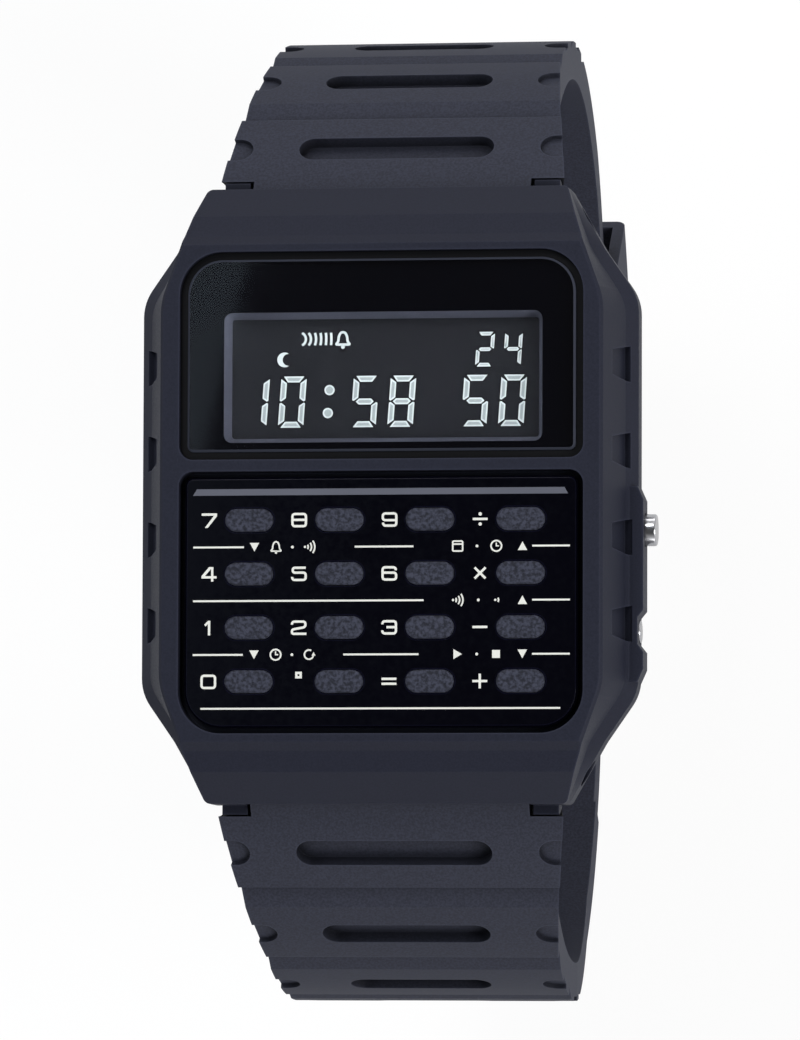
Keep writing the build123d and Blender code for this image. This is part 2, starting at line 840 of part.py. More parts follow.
# Keypad plate with its sixteen openings
key_columns = [key_first_x + column * key_pitch_x for column in range(4)]
key_rows = [key_first_y - row * key_pitch_y for row in range(4)]
key_places = [(x, y) for y in key_rows for x in key_columns]
key_names = [
    "key_7", "key_8", "key_9", "key_divide",
    "key_4", "key_5", "key_6", "key_times",
    "key_1", "key_2", "key_3", "key_minus",
    "key_0", "key_point", "key_equals", "key_plus",
]

with BuildPart() as keypad_plate:
    with BuildSketch(Plane.XY.offset(plate_floor)):
        draw_plate(plate_edge_gap)
    extrude(amount=plate_top - plate_floor)
    chamfer(keypad_plate.faces().sort_by(Axis.Z)[-1].outer_wire().edges(), plate_bevel)
    with BuildSketch(Plane.XY.offset(plate_floor)):
        with Locations(*key_places):
            SlotOverall(key_length + 2 * key_gap, key_height + 2 * key_gap)
    extrude(amount=plate_top - plate_floor, mode=Mode.SUBTRACT)
keypad_plate.part.label = "keypad_plate"
export_step(keypad_plate.part, "parts/keypad_plate.step")

for key_name, (key_x, key_y) in zip(key_names, key_places):
    with BuildPart() as key:
        with BuildSketch(Plane.XY.offset(key_flange_bottom)):
            with Locations((key_x, key_y)):
                SlotOverall(key_length + 2 * key_flange_margin, key_height + 2 * key_flange_margin)
        extrude(amount=key_flange_thickness)
        with BuildSketch(Plane.XY.offset(key_flange_bottom)):
            with Locations((key_x, key_y)):
                SlotOverall(key_length, key_height)
        extrude(amount=key_top - key_flange_bottom)
        fillet(key.faces().sort_by(Axis.Z)[-1].edges(), key_rounding)
        with BuildSketch(Plane.XY.offset(dome_top)):
            with Locations((key_x, key_y)):
                Circle(key_post_radius)
        extrude(amount=key_flange_bottom - dome_top)
    key.part.label = key_name
    export_step(key.part, f"parts/{key_name}.step")

# Rubber sheet with a hollow dome under each key
with BuildPart() as keypad_membrane:
    with BuildSketch(Plane.XY.offset(board_top)):
        draw_rectangle(-membrane_half_width, membrane_half_width, membrane_low_y, membrane_high_y)
        chamfer(vertices().group_by(Axis.Y)[0], membrane_chamfer)
    extrude(amount=membrane_thickness)
    with BuildSketch(Plane.XY.offset(board_top + membrane_thickness)):
        with Locations(*key_places):
            Circle(dome_radius)
    dome_height = dome_top - board_top - membrane_thickness
    extrude(amount=dome_height, taper=degrees((dome_radius - dome_top_radius) / dome_height))
    with BuildSketch(Plane.XY.offset(board_top)):
        with Locations(*key_places):
            Circle(dome_hollow_radius)
    extrude(amount=dome_hollow_top - board_top, mode=Mode.SUBTRACT)
keypad_membrane.part.label = "keypad_membrane"
export_step(keypad_membrane.part, "parts/keypad_membrane.step")

# Circuit board and what it carries
with BuildPart() as circuit_board:
    with BuildSketch(Plane.XY.offset(board_bottom)):
        Rectangle(2 * board_half_width, 2 * board_half_length)
        chamfer(vertices(), board_chamfer)
    extrude(amount=board_top - board_bottom)
circuit_board.part.label = "circuit_board"
export_step(circuit_board.part, "parts/circuit_board.step")

with BuildPart() as processor_chip:
    with BuildSketch(Plane.XY.offset(board_bottom)):
        with Locations((chip_x, part_row_y)):
            RectangleRounded(chip_size, chip_size, chip_rounding * 2)
    extrude(amount=-chip_height)
    fillet(processor_chip.faces().sort_by(Axis.Z)[0].edges(), chip_rounding)
processor_chip.part.label = "processor_chip"
export_step(processor_chip.part, "parts/processor_chip.step")

with BuildPart() as quartz_crystal:
    with BuildSketch(across(part_row_y, can_z).offset(can_x - can_length / 2)):
        Circle(can_radius)
    extrude(amount=can_length)
    fillet(quartz_crystal.faces().sort_by(Axis.X)[0].edges(), can_radius / 3)
quartz_crystal.part.label = "quartz_crystal"
export_step(quartz_crystal.part, "parts/quartz_crystal.step")

with BuildPart() as module_frame:
    with BuildSketch(Plane.XY.offset(board_top)):
        draw_rectangle(
            -module_frame_half_width, module_frame_half_width,
            module_frame_low_y, board_half_length,
        )
        chamfer(vertices().group_by(Axis.Y)[-1], board_chamfer)
        with BuildSketch(mode=Mode.SUBTRACT):
            draw_rectangle(
                -lcd_half_width - module_frame_gap,
                lcd_half_width + module_frame_gap,
                lcd_low_y - module_frame_gap,
                lcd_high_y + module_frame_gap,
            )
    extrude(amount=lcd_top - board_top)
module_frame.part.label = "module_frame"
export_step(module_frame.part, "parts/module_frame.step")

with BuildPart() as cell_frame:
    with BuildSketch(Plane.XY.offset(back_frame_bottom)):
        Rectangle(2 * board_half_width, 2 * board_half_length)
        chamfer(vertices(), board_chamfer)
        with Locations((cell_x, cell_y)):
            Circle(cell_radius + cell_gap, mode=Mode.SUBTRACT)
        with Locations((chip_x, part_row_y)):
            chip_window = chip_size + 2 * chip_window_margin
            Rectangle(chip_window, chip_window, mode=Mode.SUBTRACT)
        with Locations((can_x, part_row_y)):
            can_window_length = can_length + 2 * can_window_margin
            can_window_width = 2 * (can_radius + can_window_margin)
            Rectangle(can_window_length, can_window_width, mode=Mode.SUBTRACT)
        with Locations((buzzer_spring_x, part_row_y)):
            Circle(buzzer_spring_hole, mode=Mode.SUBTRACT)
        for button_y in (mode_button_y, adjust_button_y):
            with Locations(((contact_notch_x + board_half_width + overrun) / 2, button_y)):
                notch_length = board_half_width + overrun - contact_notch_x
                Rectangle(notch_length, 2 * contact_notch_half_width, mode=Mode.SUBTRACT)
    extrude(amount=board_bottom - back_frame_bottom)
cell_frame.part.label = "cell_frame"
export_step(cell_frame.part, "parts/cell_frame.step")

with BuildPart() as coin_cell:
    with BuildSketch(Plane.XY.offset(back_frame_bottom)):
        with Locations((cell_x, cell_y)):
            Circle(cell_radius)
    extrude(amount=cell_thickness * (1 - cell_cap_share))
    chamfer(coin_cell.faces().sort_by(Axis.Z)[0].edges(), edge_break * 2)
    with BuildSketch(Plane.XY.offset(back_frame_bottom)):
        with Locations((cell_x, cell_y)):
            Circle(cell_radius - cell_cap_inset)
    extrude(amount=cell_thickness)
coin_cell.part.label = "coin_cell"
export_step(coin_cell.part, "parts/coin_cell.step")

with BuildPart() as cell_clip:
    clip_half_length = cell_radius + cell_gap + clip_overhang
    with BuildSketch(Plane.XY.offset(back_frame_bottom - clip_thickness)):
        with Locations((cell_x, cell_y)):
            RectangleRounded(2 * clip_half_length, 2 * clip_half_width, clip_half_width / 2)
            SlotOverall(clip_window_length, clip_window_width, mode=Mode.SUBTRACT)
    extrude(amount=clip_thickness)
cell_clip.part.label = "cell_clip"
export_step(cell_clip.part, "parts/cell_clip.step")

with BuildPart() as insulator_sheet:
    with BuildSketch(Plane.XY.offset(sheet_bottom)):
        Rectangle(2 * board_half_width, 2 * board_half_length)
        chamfer(vertices(), board_chamfer)
        with Locations((buzzer_spring_x, part_row_y)):
            Circle(buzzer_spring_hole, mode=Mode.SUBTRACT)
    extrude(amount=sheet_thickness)
insulator_sheet.part.label = "insulator_sheet"
export_step(insulator_sheet.part, "parts/insulator_sheet.step")

with BuildPart() as buzzer_disc:
    with BuildSketch(Plane.XY.offset(case_bottom)):
        with Locations((disc_x, disc_y)):
            Circle(disc_radius)
    extrude(amount=disc_thickness)
buzzer_disc.part.label = "buzzer_disc"
export_step(buzzer_disc.part, "parts/buzzer_disc.step")


def draw_coil(start_point, direction, length, radius, turns):
    """A coil spring between two faces, its wire kept clear of them by its own radius."""
    height = length - 2 * spring_wire_radius
    axis = Vector(*direction)
    foot = Vector(*start_point) + axis * spring_wire_radius
    with BuildLine():
        wire = Helix(height / turns, height, radius, center=foot, direction=direction)
    with BuildSketch(Plane(origin=wire @ 0, z_dir=wire % 0)) as section:
        Circle(spring_wire_radius)
    sweep(section.sketch, path=wire, is_frenet=True)


with BuildPart() as buzzer_spring:
    draw_coil(
        (buzzer_spring_x, part_row_y, case_bottom + disc_thickness),
        (0, 0, 1),
        board_bottom - case_bottom - disc_thickness,
        buzzer_spring_radius,
        buzzer_spring_turns,
    )
buzzer_spring.part.label = "buzzer_spring"
export_step(buzzer_spring.part, "parts/buzzer_spring.step")

# Case back with its seal and screws
with BuildPart() as case_back:
    with BuildSketch():
        Rectangle(2 * back_half_width, 2 * back_half_length)
        chamfer(vertices(), back_chamfer)
    extrude(amount=case_bottom)
    chamfer(case_back.faces().sort_by(Axis.Z)[0].edges(), back_edge_break)
    with BuildSketch():
        with GridLocations(2 * screw_x, 2 * screw_y, 2, 2):
            Circle(screw_radius + screw_clearance)
    extrude(amount=case_bottom, mode=Mode.SUBTRACT)
    with BuildSketch():
        with GridLocations(2 * screw_x, 2 * screw_y, 2, 2):
            Circle(screw_head_radius + screw_clearance)
    extrude(amount=screw_head_height + screw_head_inset, mode=Mode.SUBTRACT)
case_back.part.label = "case_back"
export_step(case_back.part, "parts/case_back.step")

with BuildPart() as back_seal:
    with BuildSketch(Plane.XY.offset(case_bottom)):
        draw_cavity(seal_inset + seal_width - fit_gap)
        with BuildSketch(mode=Mode.SUBTRACT):
            draw_cavity(seal_inset + fit_gap)
    extrude(amount=seal_height - fit_gap)
back_seal.part.label = "back_seal"
export_step(back_seal.part, "parts/back_seal.step")

with BuildPart() as case_back_screws:
    with BuildSketch(Plane.XY.offset(screw_head_inset)):
        with GridLocations(2 * screw_x, 2 * screw_y, 2, 2):
            Circle(screw_head_radius)
    extrude(amount=screw_head_height)
    with BuildSketch(Plane.XY.offset(screw_head_inset)):
        with GridLocations(2 * screw_x, 2 * screw_y, 2, 2):
            Circle(screw_radius)
    extrude(amount=screw_end_z - screw_head_inset)
    with BuildSketch(Plane.XY.offset(screw_head_inset)):
        with GridLocations(2 * screw_x, 2 * screw_y, 2, 2):
            Rectangle(2 * screw_head_radius, screw_slot_width)
            Rectangle(screw_slot_width, 2 * screw_head_radius)
            Circle(screw_head_radius / 2, mode=Mode.INTERSECT)
    extrude(amount=screw_slot_depth, mode=Mode.SUBTRACT)
case_back_screws.part.label = "case_back_screws"
export_step(case_back_screws.part, "parts/case_back_screws.step")

# Buttons, each with its stem, spring, seal and retaining clip
button_rows = [
    ("mode_button", mode_button_y, mode_button_radius, mode_button_end_x),
    ("adjust_button", adjust_button_y, adjust_button_radius, adjust_button_end_x),
]
for button_name, button_y, head_radius, end_x in button_rows:
    head_x = button_seat_x + button_spring_length
    with BuildPart() as button:
        with BuildSketch(across(button_y, button_z).offset(head_x)):
            Circle(head_radius)
        extrude(amount=end_x - head_x)
        fillet(button.faces().sort_by(Axis.X)[-1].edges(), button_rounding)
        with BuildSketch(across(button_y, button_z).offset(stem_end_x)):
            Circle(stem_radius)
        extrude(amount=head_x - stem_end_x)
        with BuildSketch(across(button_y, button_z).offset(cavity_half_width - retainer_thickness)):
            Circle(stem_radius)
            Circle(clip_groove_radius, mode=Mode.SUBTRACT)
        extrude(amount=retainer_thickness, mode=Mode.SUBTRACT)
    button.part.label = button_name
    export_step(button.part, f"parts/{button_name}.step")

    with BuildPart() as retainer:
        with BuildSketch(across(button_y, button_z).offset(cavity_half_width - retainer_thickness)):
            Circle(retainer_radius)
            Circle(clip_groove_radius + fit_gap, mode=Mode.SUBTRACT)
            with Locations((0, -retainer_radius)):
                Rectangle(2 * clip_groove_radius, 2 * retainer_radius, mode=Mode.SUBTRACT)
        extrude(amount=retainer_thickness)
    retainer.part.label = f"{button_name}_clip"
    export_step(retainer.part, f"parts/{button_name}_clip.step")

    with BuildPart() as button_spring:
        draw_coil(
            (button_seat_x, button_y, button_z),
            (1, 0, 0),
            button_spring_length,
            (stem_radius + head_radius) / 2,
            button_spring_turns,
        )
    button_spring.part.label = f"{button_name}_spring"
    export_step(button_spring.part, f"parts/{button_name}_spring.step")

with BuildPart() as button_seals:
    for button_y in (mode_button_y, adjust_button_y):
        with BuildSketch(across(button_y, button_z).offset(ring_groove_start_x + fit_gap)):
            Circle(ring_groove_radius - fit_gap)
            Circle(stem_radius + fit_gap, mode=Mode.SUBTRACT)
        extrude(amount=ring_groove_width - 2 * fit_gap)
button_seals.part.label = "button_seals"
export_step(button_seals.part, "parts/button_seals.step")

with BuildPart() as side_contacts:
    for button_y in (mode_button_y, adjust_button_y):
        with BuildSketch(Plane.XY.offset(board_bottom)):
            with Locations((contact_x + contact_thickness / 2, button_y)):
                Rectangle(contact_thickness, 2 * contact_half_width)
        extrude(amount=-contact_drop)
side_contacts.part.label = "side_contacts"
export_step(side_contacts.part, "parts/side_contacts.step")


# Spring bars, one in each pair of lugs
for bar_name, side in (("spring_bar_upper", 1), ("spring_bar_lower", -1)):
    with BuildPart() as spring_bar:
        with BuildSketch(across(side * bar_y, bar_z)):
            Circle(bar_radius)
        extrude(amount=bar_half_length, both=True)
        with BuildSketch(across(side * bar_y, bar_z)):
            Circle(bar_tip_radius)
        extrude(amount=bar_tip_half_length, both=True)
        chamfer(spring_bar.faces().sort_by(Axis.X)[0].edges(), edge_break)
        chamfer(spring_bar.faces().sort_by(Axis.X)[-1].edges(), edge_break)
    spring_bar.part.label = bar_name
    export_step(spring_bar.part, f"parts/{bar_name}.step")


def draw_arc(centre_point, radius, from_angle, to_angle, side):
    """An arc of the strap between two angles of one of its two bends."""
    middle = (from_angle + to_angle) / 2
    ThreePointArc(
        centre_point(radius, from_angle, side),
        centre_point(radius, middle, side),
        centre_point(radius, to_angle, side),
    )


def draw_strap_root(side, end_angle):
    """The outer face from the knuckle, with its grooves, then the end and the inner face."""
    outer = strap_bend_radius
    inner = strap_bend_radius - strap_thickness
    Line((side * lead_y, lead_z), (side * bend_start_y, bend_start_z))
    angle = strap_start_angle
    for groove in range(groove_count):
        distance = groove_first + groove * groove_pitch
        ridge = bend_angle(distance)
        foot = bend_angle(distance + groove_wall)
        rise = bend_angle(distance + groove_length)
        draw_arc(bend_point, outer, angle, ridge, side)
        Line(bend_point(outer, ridge, side), bend_point(outer - groove_depth, foot, side))
        Line(bend_point(outer - groove_depth, foot, side), bend_point(outer, rise, side))
        angle = rise
    draw_arc(bend_point, outer, angle, end_angle, side)
    Line(bend_point(outer, end_angle, side), bend_point(inner, end_angle, side))
    draw_arc(bend_point, inner, end_angle, strap_inner_start_angle, side)
    low_tangent = (side * (2 * bar_y - lead_y), 2 * bar_z - lead_z)
    Line(bend_point(inner, strap_inner_start_angle, side), low_tangent)
    Line(low_tangent, (side * lead_y, lead_z))


def cut_strap_sides(side):
    """Narrow the strap with its height, and cut its shoulders clear of the lugs."""
    rows = strap_taper_rows(side)
    right = [(width, z) for z, width in rows]
    left = [(-width, z) for z, width in reversed(rows)]
    reach = bend_y + strap_bend_radius + overrun
    with BuildSketch(Plane.XZ) as taper:
        with BuildLine():
            Polyline(*right, *left, close=True)
        make_face()
    extrude(taper.sketch, amount=reach, both=True, mode=Mode.INTERSECT)
    low_y, high_y = sorted((side * (lug_gap_y - bar_y), side * (shoulder_y - bar_y)))
    for hand in (1, -1):
        low_x, high_x = sorted((hand * tongue_half_width, hand * half_width))
        with BuildSketch(across(side * bar_y, bar_z).offset(low_x)) as shoulder:
            Circle(shoulder_y - bar_y)
            draw_rectangle(low_y, high_y, 0, knuckle_radius + overrun)
        extrude(shoulder.sketch, amount=high_x - low_x, mode=Mode.SUBTRACT)


def cut_strap_slots(side):
    """One long slot and two shallower notches at the edges, across each plain stretch."""
    for groove in range(groove_count):
        distance = groove_first + groove * groove_pitch - slot_before_groove
        angle = bend_angle(distance)
        y, z = bend_point(strap_bend_radius, angle, side)
        edge = strap_half_width(z, side)
        face = radial_plane(y, z, angle, side)
        with BuildSketch(face.offset(slot_depth)) as slot:
            SlotOverall(slot_width_first - groove * slot_width_step, slot_height)
        extrude(slot.sketch, amount=-2 * slot_depth, mode=Mode.SUBTRACT)
        with BuildSketch(face.offset(notch_depth)) as notches:
            with Locations((edge + slot_height / 2, 0), (-edge - slot_height / 2, 0)):
                SlotOverall(2 * notch_reach + slot_height, slot_height)
        extrude(notches.sketch, amount=-2 * notch_depth, mode=Mode.SUBTRACT)


def draw_knuckle(side):
    with Locations((side * bar_y, bar_z)):
        Circle(knuckle_radius)


def cut_knuckle_bore(side):
    with BuildSketch(across(side * bar_y, bar_z)) as bore:
        Circle(bar_radius + running_clearance)
    extrude(bore.sketch, amount=half_width, both=True, mode=Mode.SUBTRACT)


# Short strap at 12 o'clock, which carries the buckle
with BuildPart() as strap_upper:
    with BuildSketch(Plane.YZ):
        with BuildLine():
            draw_strap_root(1, pin_angle)
        make_face()
        draw_knuckle(1)
        with Locations((pin_y, pin_z)):
            Circle(strap_thickness / 2)
    extrude(amount=strap_shoulder_half_width, both=True)
    cut_strap_sides(1)
    cut_strap_slots(1)
    cut_knuckle_bore(1)
    with BuildSketch(across(pin_y, pin_z)):
        Circle(pin_radius + running_clearance)
    extrude(amount=half_width, both=True, mode=Mode.SUBTRACT)
    with BuildSketch(radial_plane(pin_y, pin_z, pin_angle, 1).offset(-strap_thickness)):
        draw_rectangle(-tongue_slot_half_width, tongue_slot_half_width, -tongue_slot_length, strap_thickness)
    extrude(amount=2 * strap_thickness, mode=Mode.SUBTRACT)
strap_upper.part.label = "strap_upper"
export_step(strap_upper.part, "parts/strap_upper.step")

# Long strap at 6 o'clock: its tail, then the whole strap
with BuildPart() as tail:
    with BuildSketch(Plane.YZ):
        tail_inner = tail_bend_radius - strap_thickness
        with BuildLine():
            draw_arc(tail_point, tail_bend_radius, tail_start_angle, tail_end_angle, -1)
            Line(
                tail_point(tail_bend_radius, tail_end_angle, -1),
                tail_point(tail_inner, tail_end_angle, -1),
            )
            draw_arc(tail_point, tail_inner, tail_end_angle, tail_start_angle, -1)
            Line(
                tail_point(tail_inner, tail_start_angle, -1),
                tail_point(tail_bend_radius, tail_start_angle, -1),
            )
        make_face()
    extrude(amount=tail_half_width, both=True)
    tail_tip_z = tail_point(tail_bend_radius, tail_end_angle, -1)[1]
    base_z = tail_z - tail_bend_radius - overrun
    side_z = tail_tip_z - tail_point_length
    with BuildSketch(Plane.XZ):
        with BuildLine():
            Polyline(
                (-tail_half_width, side_z),
                (-tail_half_width, base_z),
                (tail_half_width, base_z),
                (tail_half_width, side_z),
            )
            ThreePointArc((tail_half_width, side_z), (0, tail_tip_z), (-tail_half_width, side_z))
        make_face()
    extrude(amount=tail_y + tail_bend_radius + overrun, both=True, mode=Mode.INTERSECT)

with BuildPart() as strap_lower:
    with BuildSketch(Plane.YZ):
        with BuildLine():
            draw_strap_root(-1, tail_start_angle)
        make_face()
        draw_knuckle(-1)
    extrude(amount=strap_shoulder_half_width, both=True)
    cut_strap_sides(-1)
    cut_strap_slots(-1)
    cut_knuckle_bore(-1)
    add(tail.part)
    for hole in range(hole_count):
        from_tip = hole_first + hole * hole_pitch
        if from_tip < tail_length:
            angle = tail_end_angle + degrees(from_tip / tail_bend_radius)
            y, z = tail_point(tail_bend_radius, angle, -1)
        else:
            angle = tail_start_angle + degrees((from_tip - tail_length) / strap_bend_radius)
            y, z = bend_point(strap_bend_radius, angle, -1)
        with BuildSketch(radial_plane(y, z, angle, -1)):
            Circle(hole_radius)
        extrude(amount=strap_thickness * 2, both=True, mode=Mode.SUBTRACT)
strap_lower.part.label = "strap_lower"
export_step(strap_lower.part, "parts/strap_lower.step")

# Buckle: frame, pin and tongue on the end of the short strap
buckle_plane = radial_plane(pin_y, pin_z, pin_angle, 1)
frame_outer_half_width = frame_inner_half_width + frame_arm_width

with BuildPart() as buckle_frame:
    with BuildSketch(buckle_plane.offset(-frame_thickness / 2)):
        draw_rectangle(-frame_outer_half_width, frame_outer_half_width, -frame_heel, frame_length)
        fillet(vertices(), frame_heel)
        with BuildSketch(mode=Mode.SUBTRACT):
            draw_rectangle(
                -frame_inner_half_width,
                frame_inner_half_width,
                -frame_heel - overrun,
                frame_length - frame_bar_width,
            )
            fillet(vertices().group_by(Axis.Y)[-1], frame_heel)
    extrude(amount=frame_thickness)
    fillet(buckle_frame.faces().filter_by(buckle_plane).edges(), frame_thickness / 6)
    with BuildSketch(across(pin_y, pin_z)):
        Circle(pin_radius + fit_gap)
    extrude(amount=half_width, both=True, mode=Mode.SUBTRACT)
buckle_frame.part.label = "buckle_frame"
export_step(buckle_frame.part, "parts/buckle_frame.step")

with BuildPart() as buckle_pin:
    with BuildSketch(across(pin_y, pin_z)):
        Circle(pin_radius)
    extrude(amount=frame_outer_half_width - edge_break, both=True)
buckle_pin.part.label = "buckle_pin"
export_step(buckle_pin.part, "parts/buckle_pin.step")

# The tongue's own plane has X along the buckle and Y out of the strap
tongue_plane = Plane(origin=buckle_plane.origin, x_dir=buckle_plane.y_dir, z_dir=(1, 0, 0))
blade_bottom = frame_thickness / 2 + running_clearance
with BuildPart() as buckle_tongue:
    with BuildSketch(tongue_plane):
        Circle(tongue_ring_radius)
        draw_rectangle(0, frame_length + tongue_overhang, blade_bottom, blade_bottom + tongue_thickness)
        fillet(vertices().group_by(Axis.X)[-1], tongue_thickness / 3)
        Circle(pin_radius + running_clearance, mode=Mode.SUBTRACT)
    extrude(amount=tongue_blade_half_width, both=True)
buckle_tongue.part.label = "buckle_tongue"
export_step(buckle_tongue.part, "parts/buckle_tongue.step")

# Keeper loop round the short strap
with BuildPart() as keeper:
    from_angle = bend_angle(keeper_start)
    to_angle = bend_angle(keeper_start + keeper_length)
    near = strap_bend_radius - strap_thickness - keeper_inner_gap
    far = strap_bend_radius + keeper_outer_gap
    with BuildSketch(Plane.YZ):
        with BuildLine():
            draw_arc(bend_point, near - keeper_wall, from_angle, to_angle, 1)
            Line(bend_point(near - keeper_wall, to_angle, 1), bend_point(far + keeper_wall, to_angle, 1))
            draw_arc(bend_point, far + keeper_wall, to_angle, from_angle, 1)
            Line(bend_point(far + keeper_wall, from_angle, 1), bend_point(near - keeper_wall, from_angle, 1))
        make_face()
    extrude(amount=keeper_half_width_inside + keeper_wall, both=True)
    fillet(keeper.edges().filter_by(GeomType.CIRCLE), keeper_rounding)
    with BuildSketch(Plane.YZ):
        cut_from = bend_angle(keeper_start - overrun)
        cut_to = bend_angle(keeper_start + keeper_length + overrun)
        with BuildLine():
            draw_arc(bend_point, near, cut_from, cut_to, 1)
            Line(bend_point(near, cut_to, 1), bend_point(far, cut_to, 1))
            draw_arc(bend_point, far, cut_to, cut_from, 1)
            Line(bend_point(far, cut_from, 1), bend_point(near, cut_from, 1))
        make_face()
    extrude(amount=keeper_half_width_inside, both=True, mode=Mode.SUBTRACT)
keeper.part.label = "keeper"
export_step(keeper.part, "parts/keeper.step")
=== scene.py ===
import json
import math

import bmesh
import bpy
from mathutils import Matrix, Vector


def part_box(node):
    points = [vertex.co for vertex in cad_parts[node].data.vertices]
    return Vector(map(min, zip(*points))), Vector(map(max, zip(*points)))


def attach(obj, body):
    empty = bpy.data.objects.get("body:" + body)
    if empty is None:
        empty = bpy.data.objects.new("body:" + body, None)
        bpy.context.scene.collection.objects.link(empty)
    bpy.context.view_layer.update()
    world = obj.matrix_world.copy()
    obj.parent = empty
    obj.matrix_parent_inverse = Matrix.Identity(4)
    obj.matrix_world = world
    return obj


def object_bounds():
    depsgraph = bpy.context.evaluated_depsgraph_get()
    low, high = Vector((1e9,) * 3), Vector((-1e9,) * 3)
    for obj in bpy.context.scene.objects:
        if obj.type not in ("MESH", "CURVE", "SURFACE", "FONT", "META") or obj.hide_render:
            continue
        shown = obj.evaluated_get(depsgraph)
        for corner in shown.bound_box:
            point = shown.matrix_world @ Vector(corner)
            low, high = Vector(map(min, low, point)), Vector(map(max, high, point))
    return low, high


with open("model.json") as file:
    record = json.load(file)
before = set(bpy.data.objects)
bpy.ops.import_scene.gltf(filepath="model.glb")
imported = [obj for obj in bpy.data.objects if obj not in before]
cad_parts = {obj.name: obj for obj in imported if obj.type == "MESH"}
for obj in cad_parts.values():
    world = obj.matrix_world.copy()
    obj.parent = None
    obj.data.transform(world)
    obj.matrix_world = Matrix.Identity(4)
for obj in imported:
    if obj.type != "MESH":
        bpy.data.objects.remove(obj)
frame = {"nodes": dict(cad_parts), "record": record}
cad_low, cad_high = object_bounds()

MM = 0.001
HEAD = "watch_case"

# The keys, row by row from the display down
KEY_ROWS = (
    ("key_7", "key_8", "key_9", "key_divide"),
    ("key_4", "key_5", "key_6", "key_times"),
    ("key_1", "key_2", "key_3", "key_minus"),
    ("key_0", "key_point", "key_equals", "key_plus"),
)
PLATE_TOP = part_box("keypad_plate")[1].z / MM
LCD_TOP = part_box("lcd_panel")[1].z / MM

# How far a printed layer reaches into what it lies on
SINK = 0.02


# Materials. Sizes and depths are in millimetres.

BEVEL_SAMPLES = 6

# Moulded plastic and rubber
CLOUD_SIZE = 6.0
FLECK_BELOW = 0.38
FLECK_ABOVE = 0.62
GLOSSIER_BY = 0.05
DULLER_BY = 0.07
# Edges lightened: partly rubbed wear, partly a painted highlight
WEAR_AND_HIGHLIGHT_REACH = 3
WEAR_AND_HIGHLIGHT_BELOW = 0.65
WEAR_AND_HIGHLIGHT_ABOVE = 0.995
# Painted shade, darkening grooves and slots where shade falls
GROOVE_SAMPLES = 8
GROOVE_REACH = 2.4
GROOVE_DARKEST = 0.3
GROOVE_CLEAR = 0.9
GROOVE_SHADE = 0.1

# Metal
METAL_EDGE = 0.04
BRUSH_DARKEST = 0.88
BRUSH_LIGHTEST = 1.08
SMUDGE_SIZE = 3.0
SMUDGE_SMOOTHEST = 0.8
SMUDGE_ROUGHEST = 1.3

# Glass
HAZE_SIZE = 4.0
GLASS_ROUGHNESS = 0.02
GLASS_IOR = 1.3
BEVEL_BELOW = 0.85
FLAT_ABOVE = 0.95

# Striped rubber
STRIPE_BELOW = 0.48
STRIPE_ABOVE = 0.52
STRIPE_ROUGHNESS = 0.5
STRIPE_GRAIN = 0.1
STRIPE_DEPTH = 0.002

# Circuit board
TRACK_PITCH = 1.6
TRACK_HEIGHT = 0.02
TRACK_BELOW = 0.02
TRACK_ABOVE = 0.05
BOARD_GRAIN = 0.4
BOARD_SMOOTHEST = 0.25
BOARD_ROUGHEST = 0.4


def srgb(red, green, blue):
    """A display colour, 0 to 255, as the linear colour that shaders take."""
    def linear(value):
        value /= 255
        return value / 12.92 if value <= 0.04045 else ((value + 0.055) / 1.055) ** 2.4
    return (linear(red), linear(green), linear(blue), 1.0)


def scaled(colour, factor):
    return (*(min(1.0, channel * factor) for channel in colour[:3]), 1.0)


def feed(tree, socket, value):
    """Link a socket to another node's output, or set it to a plain value."""
    if isinstance(value, bpy.types.NodeSocket):
        tree.links.new(value, socket)
    else:
        socket.default_value = value


def add_node(tree, kind, settings=None, **inputs):
    """A new node. An input's name has _ where the socket's has a space."""
    made = tree.nodes.new(kind)
    for key, value in (settings or {}).items():
        setattr(made, key, value)
    for key, value in inputs.items():
        feed(tree, made.inputs[key.replace("_", " ")], value)
    return made


def maths(tree, operation, first, second):
    made = add_node(tree, "ShaderNodeMath", {"operation": operation})
    feed(tree, made.inputs[0], first)
    feed(tree, made.inputs[1], second)
    return made.outputs["Value"]


def mix_shaders(tree, share, first, second):
    """The first shader, giving way to the second as share goes from 0 to 1."""
    made = add_node(tree, "ShaderNodeMixShader")
    for socket, output in zip(made.inputs, (share, first, second)):
        tree.links.new(output, socket)
    return made.outputs["Shader"]


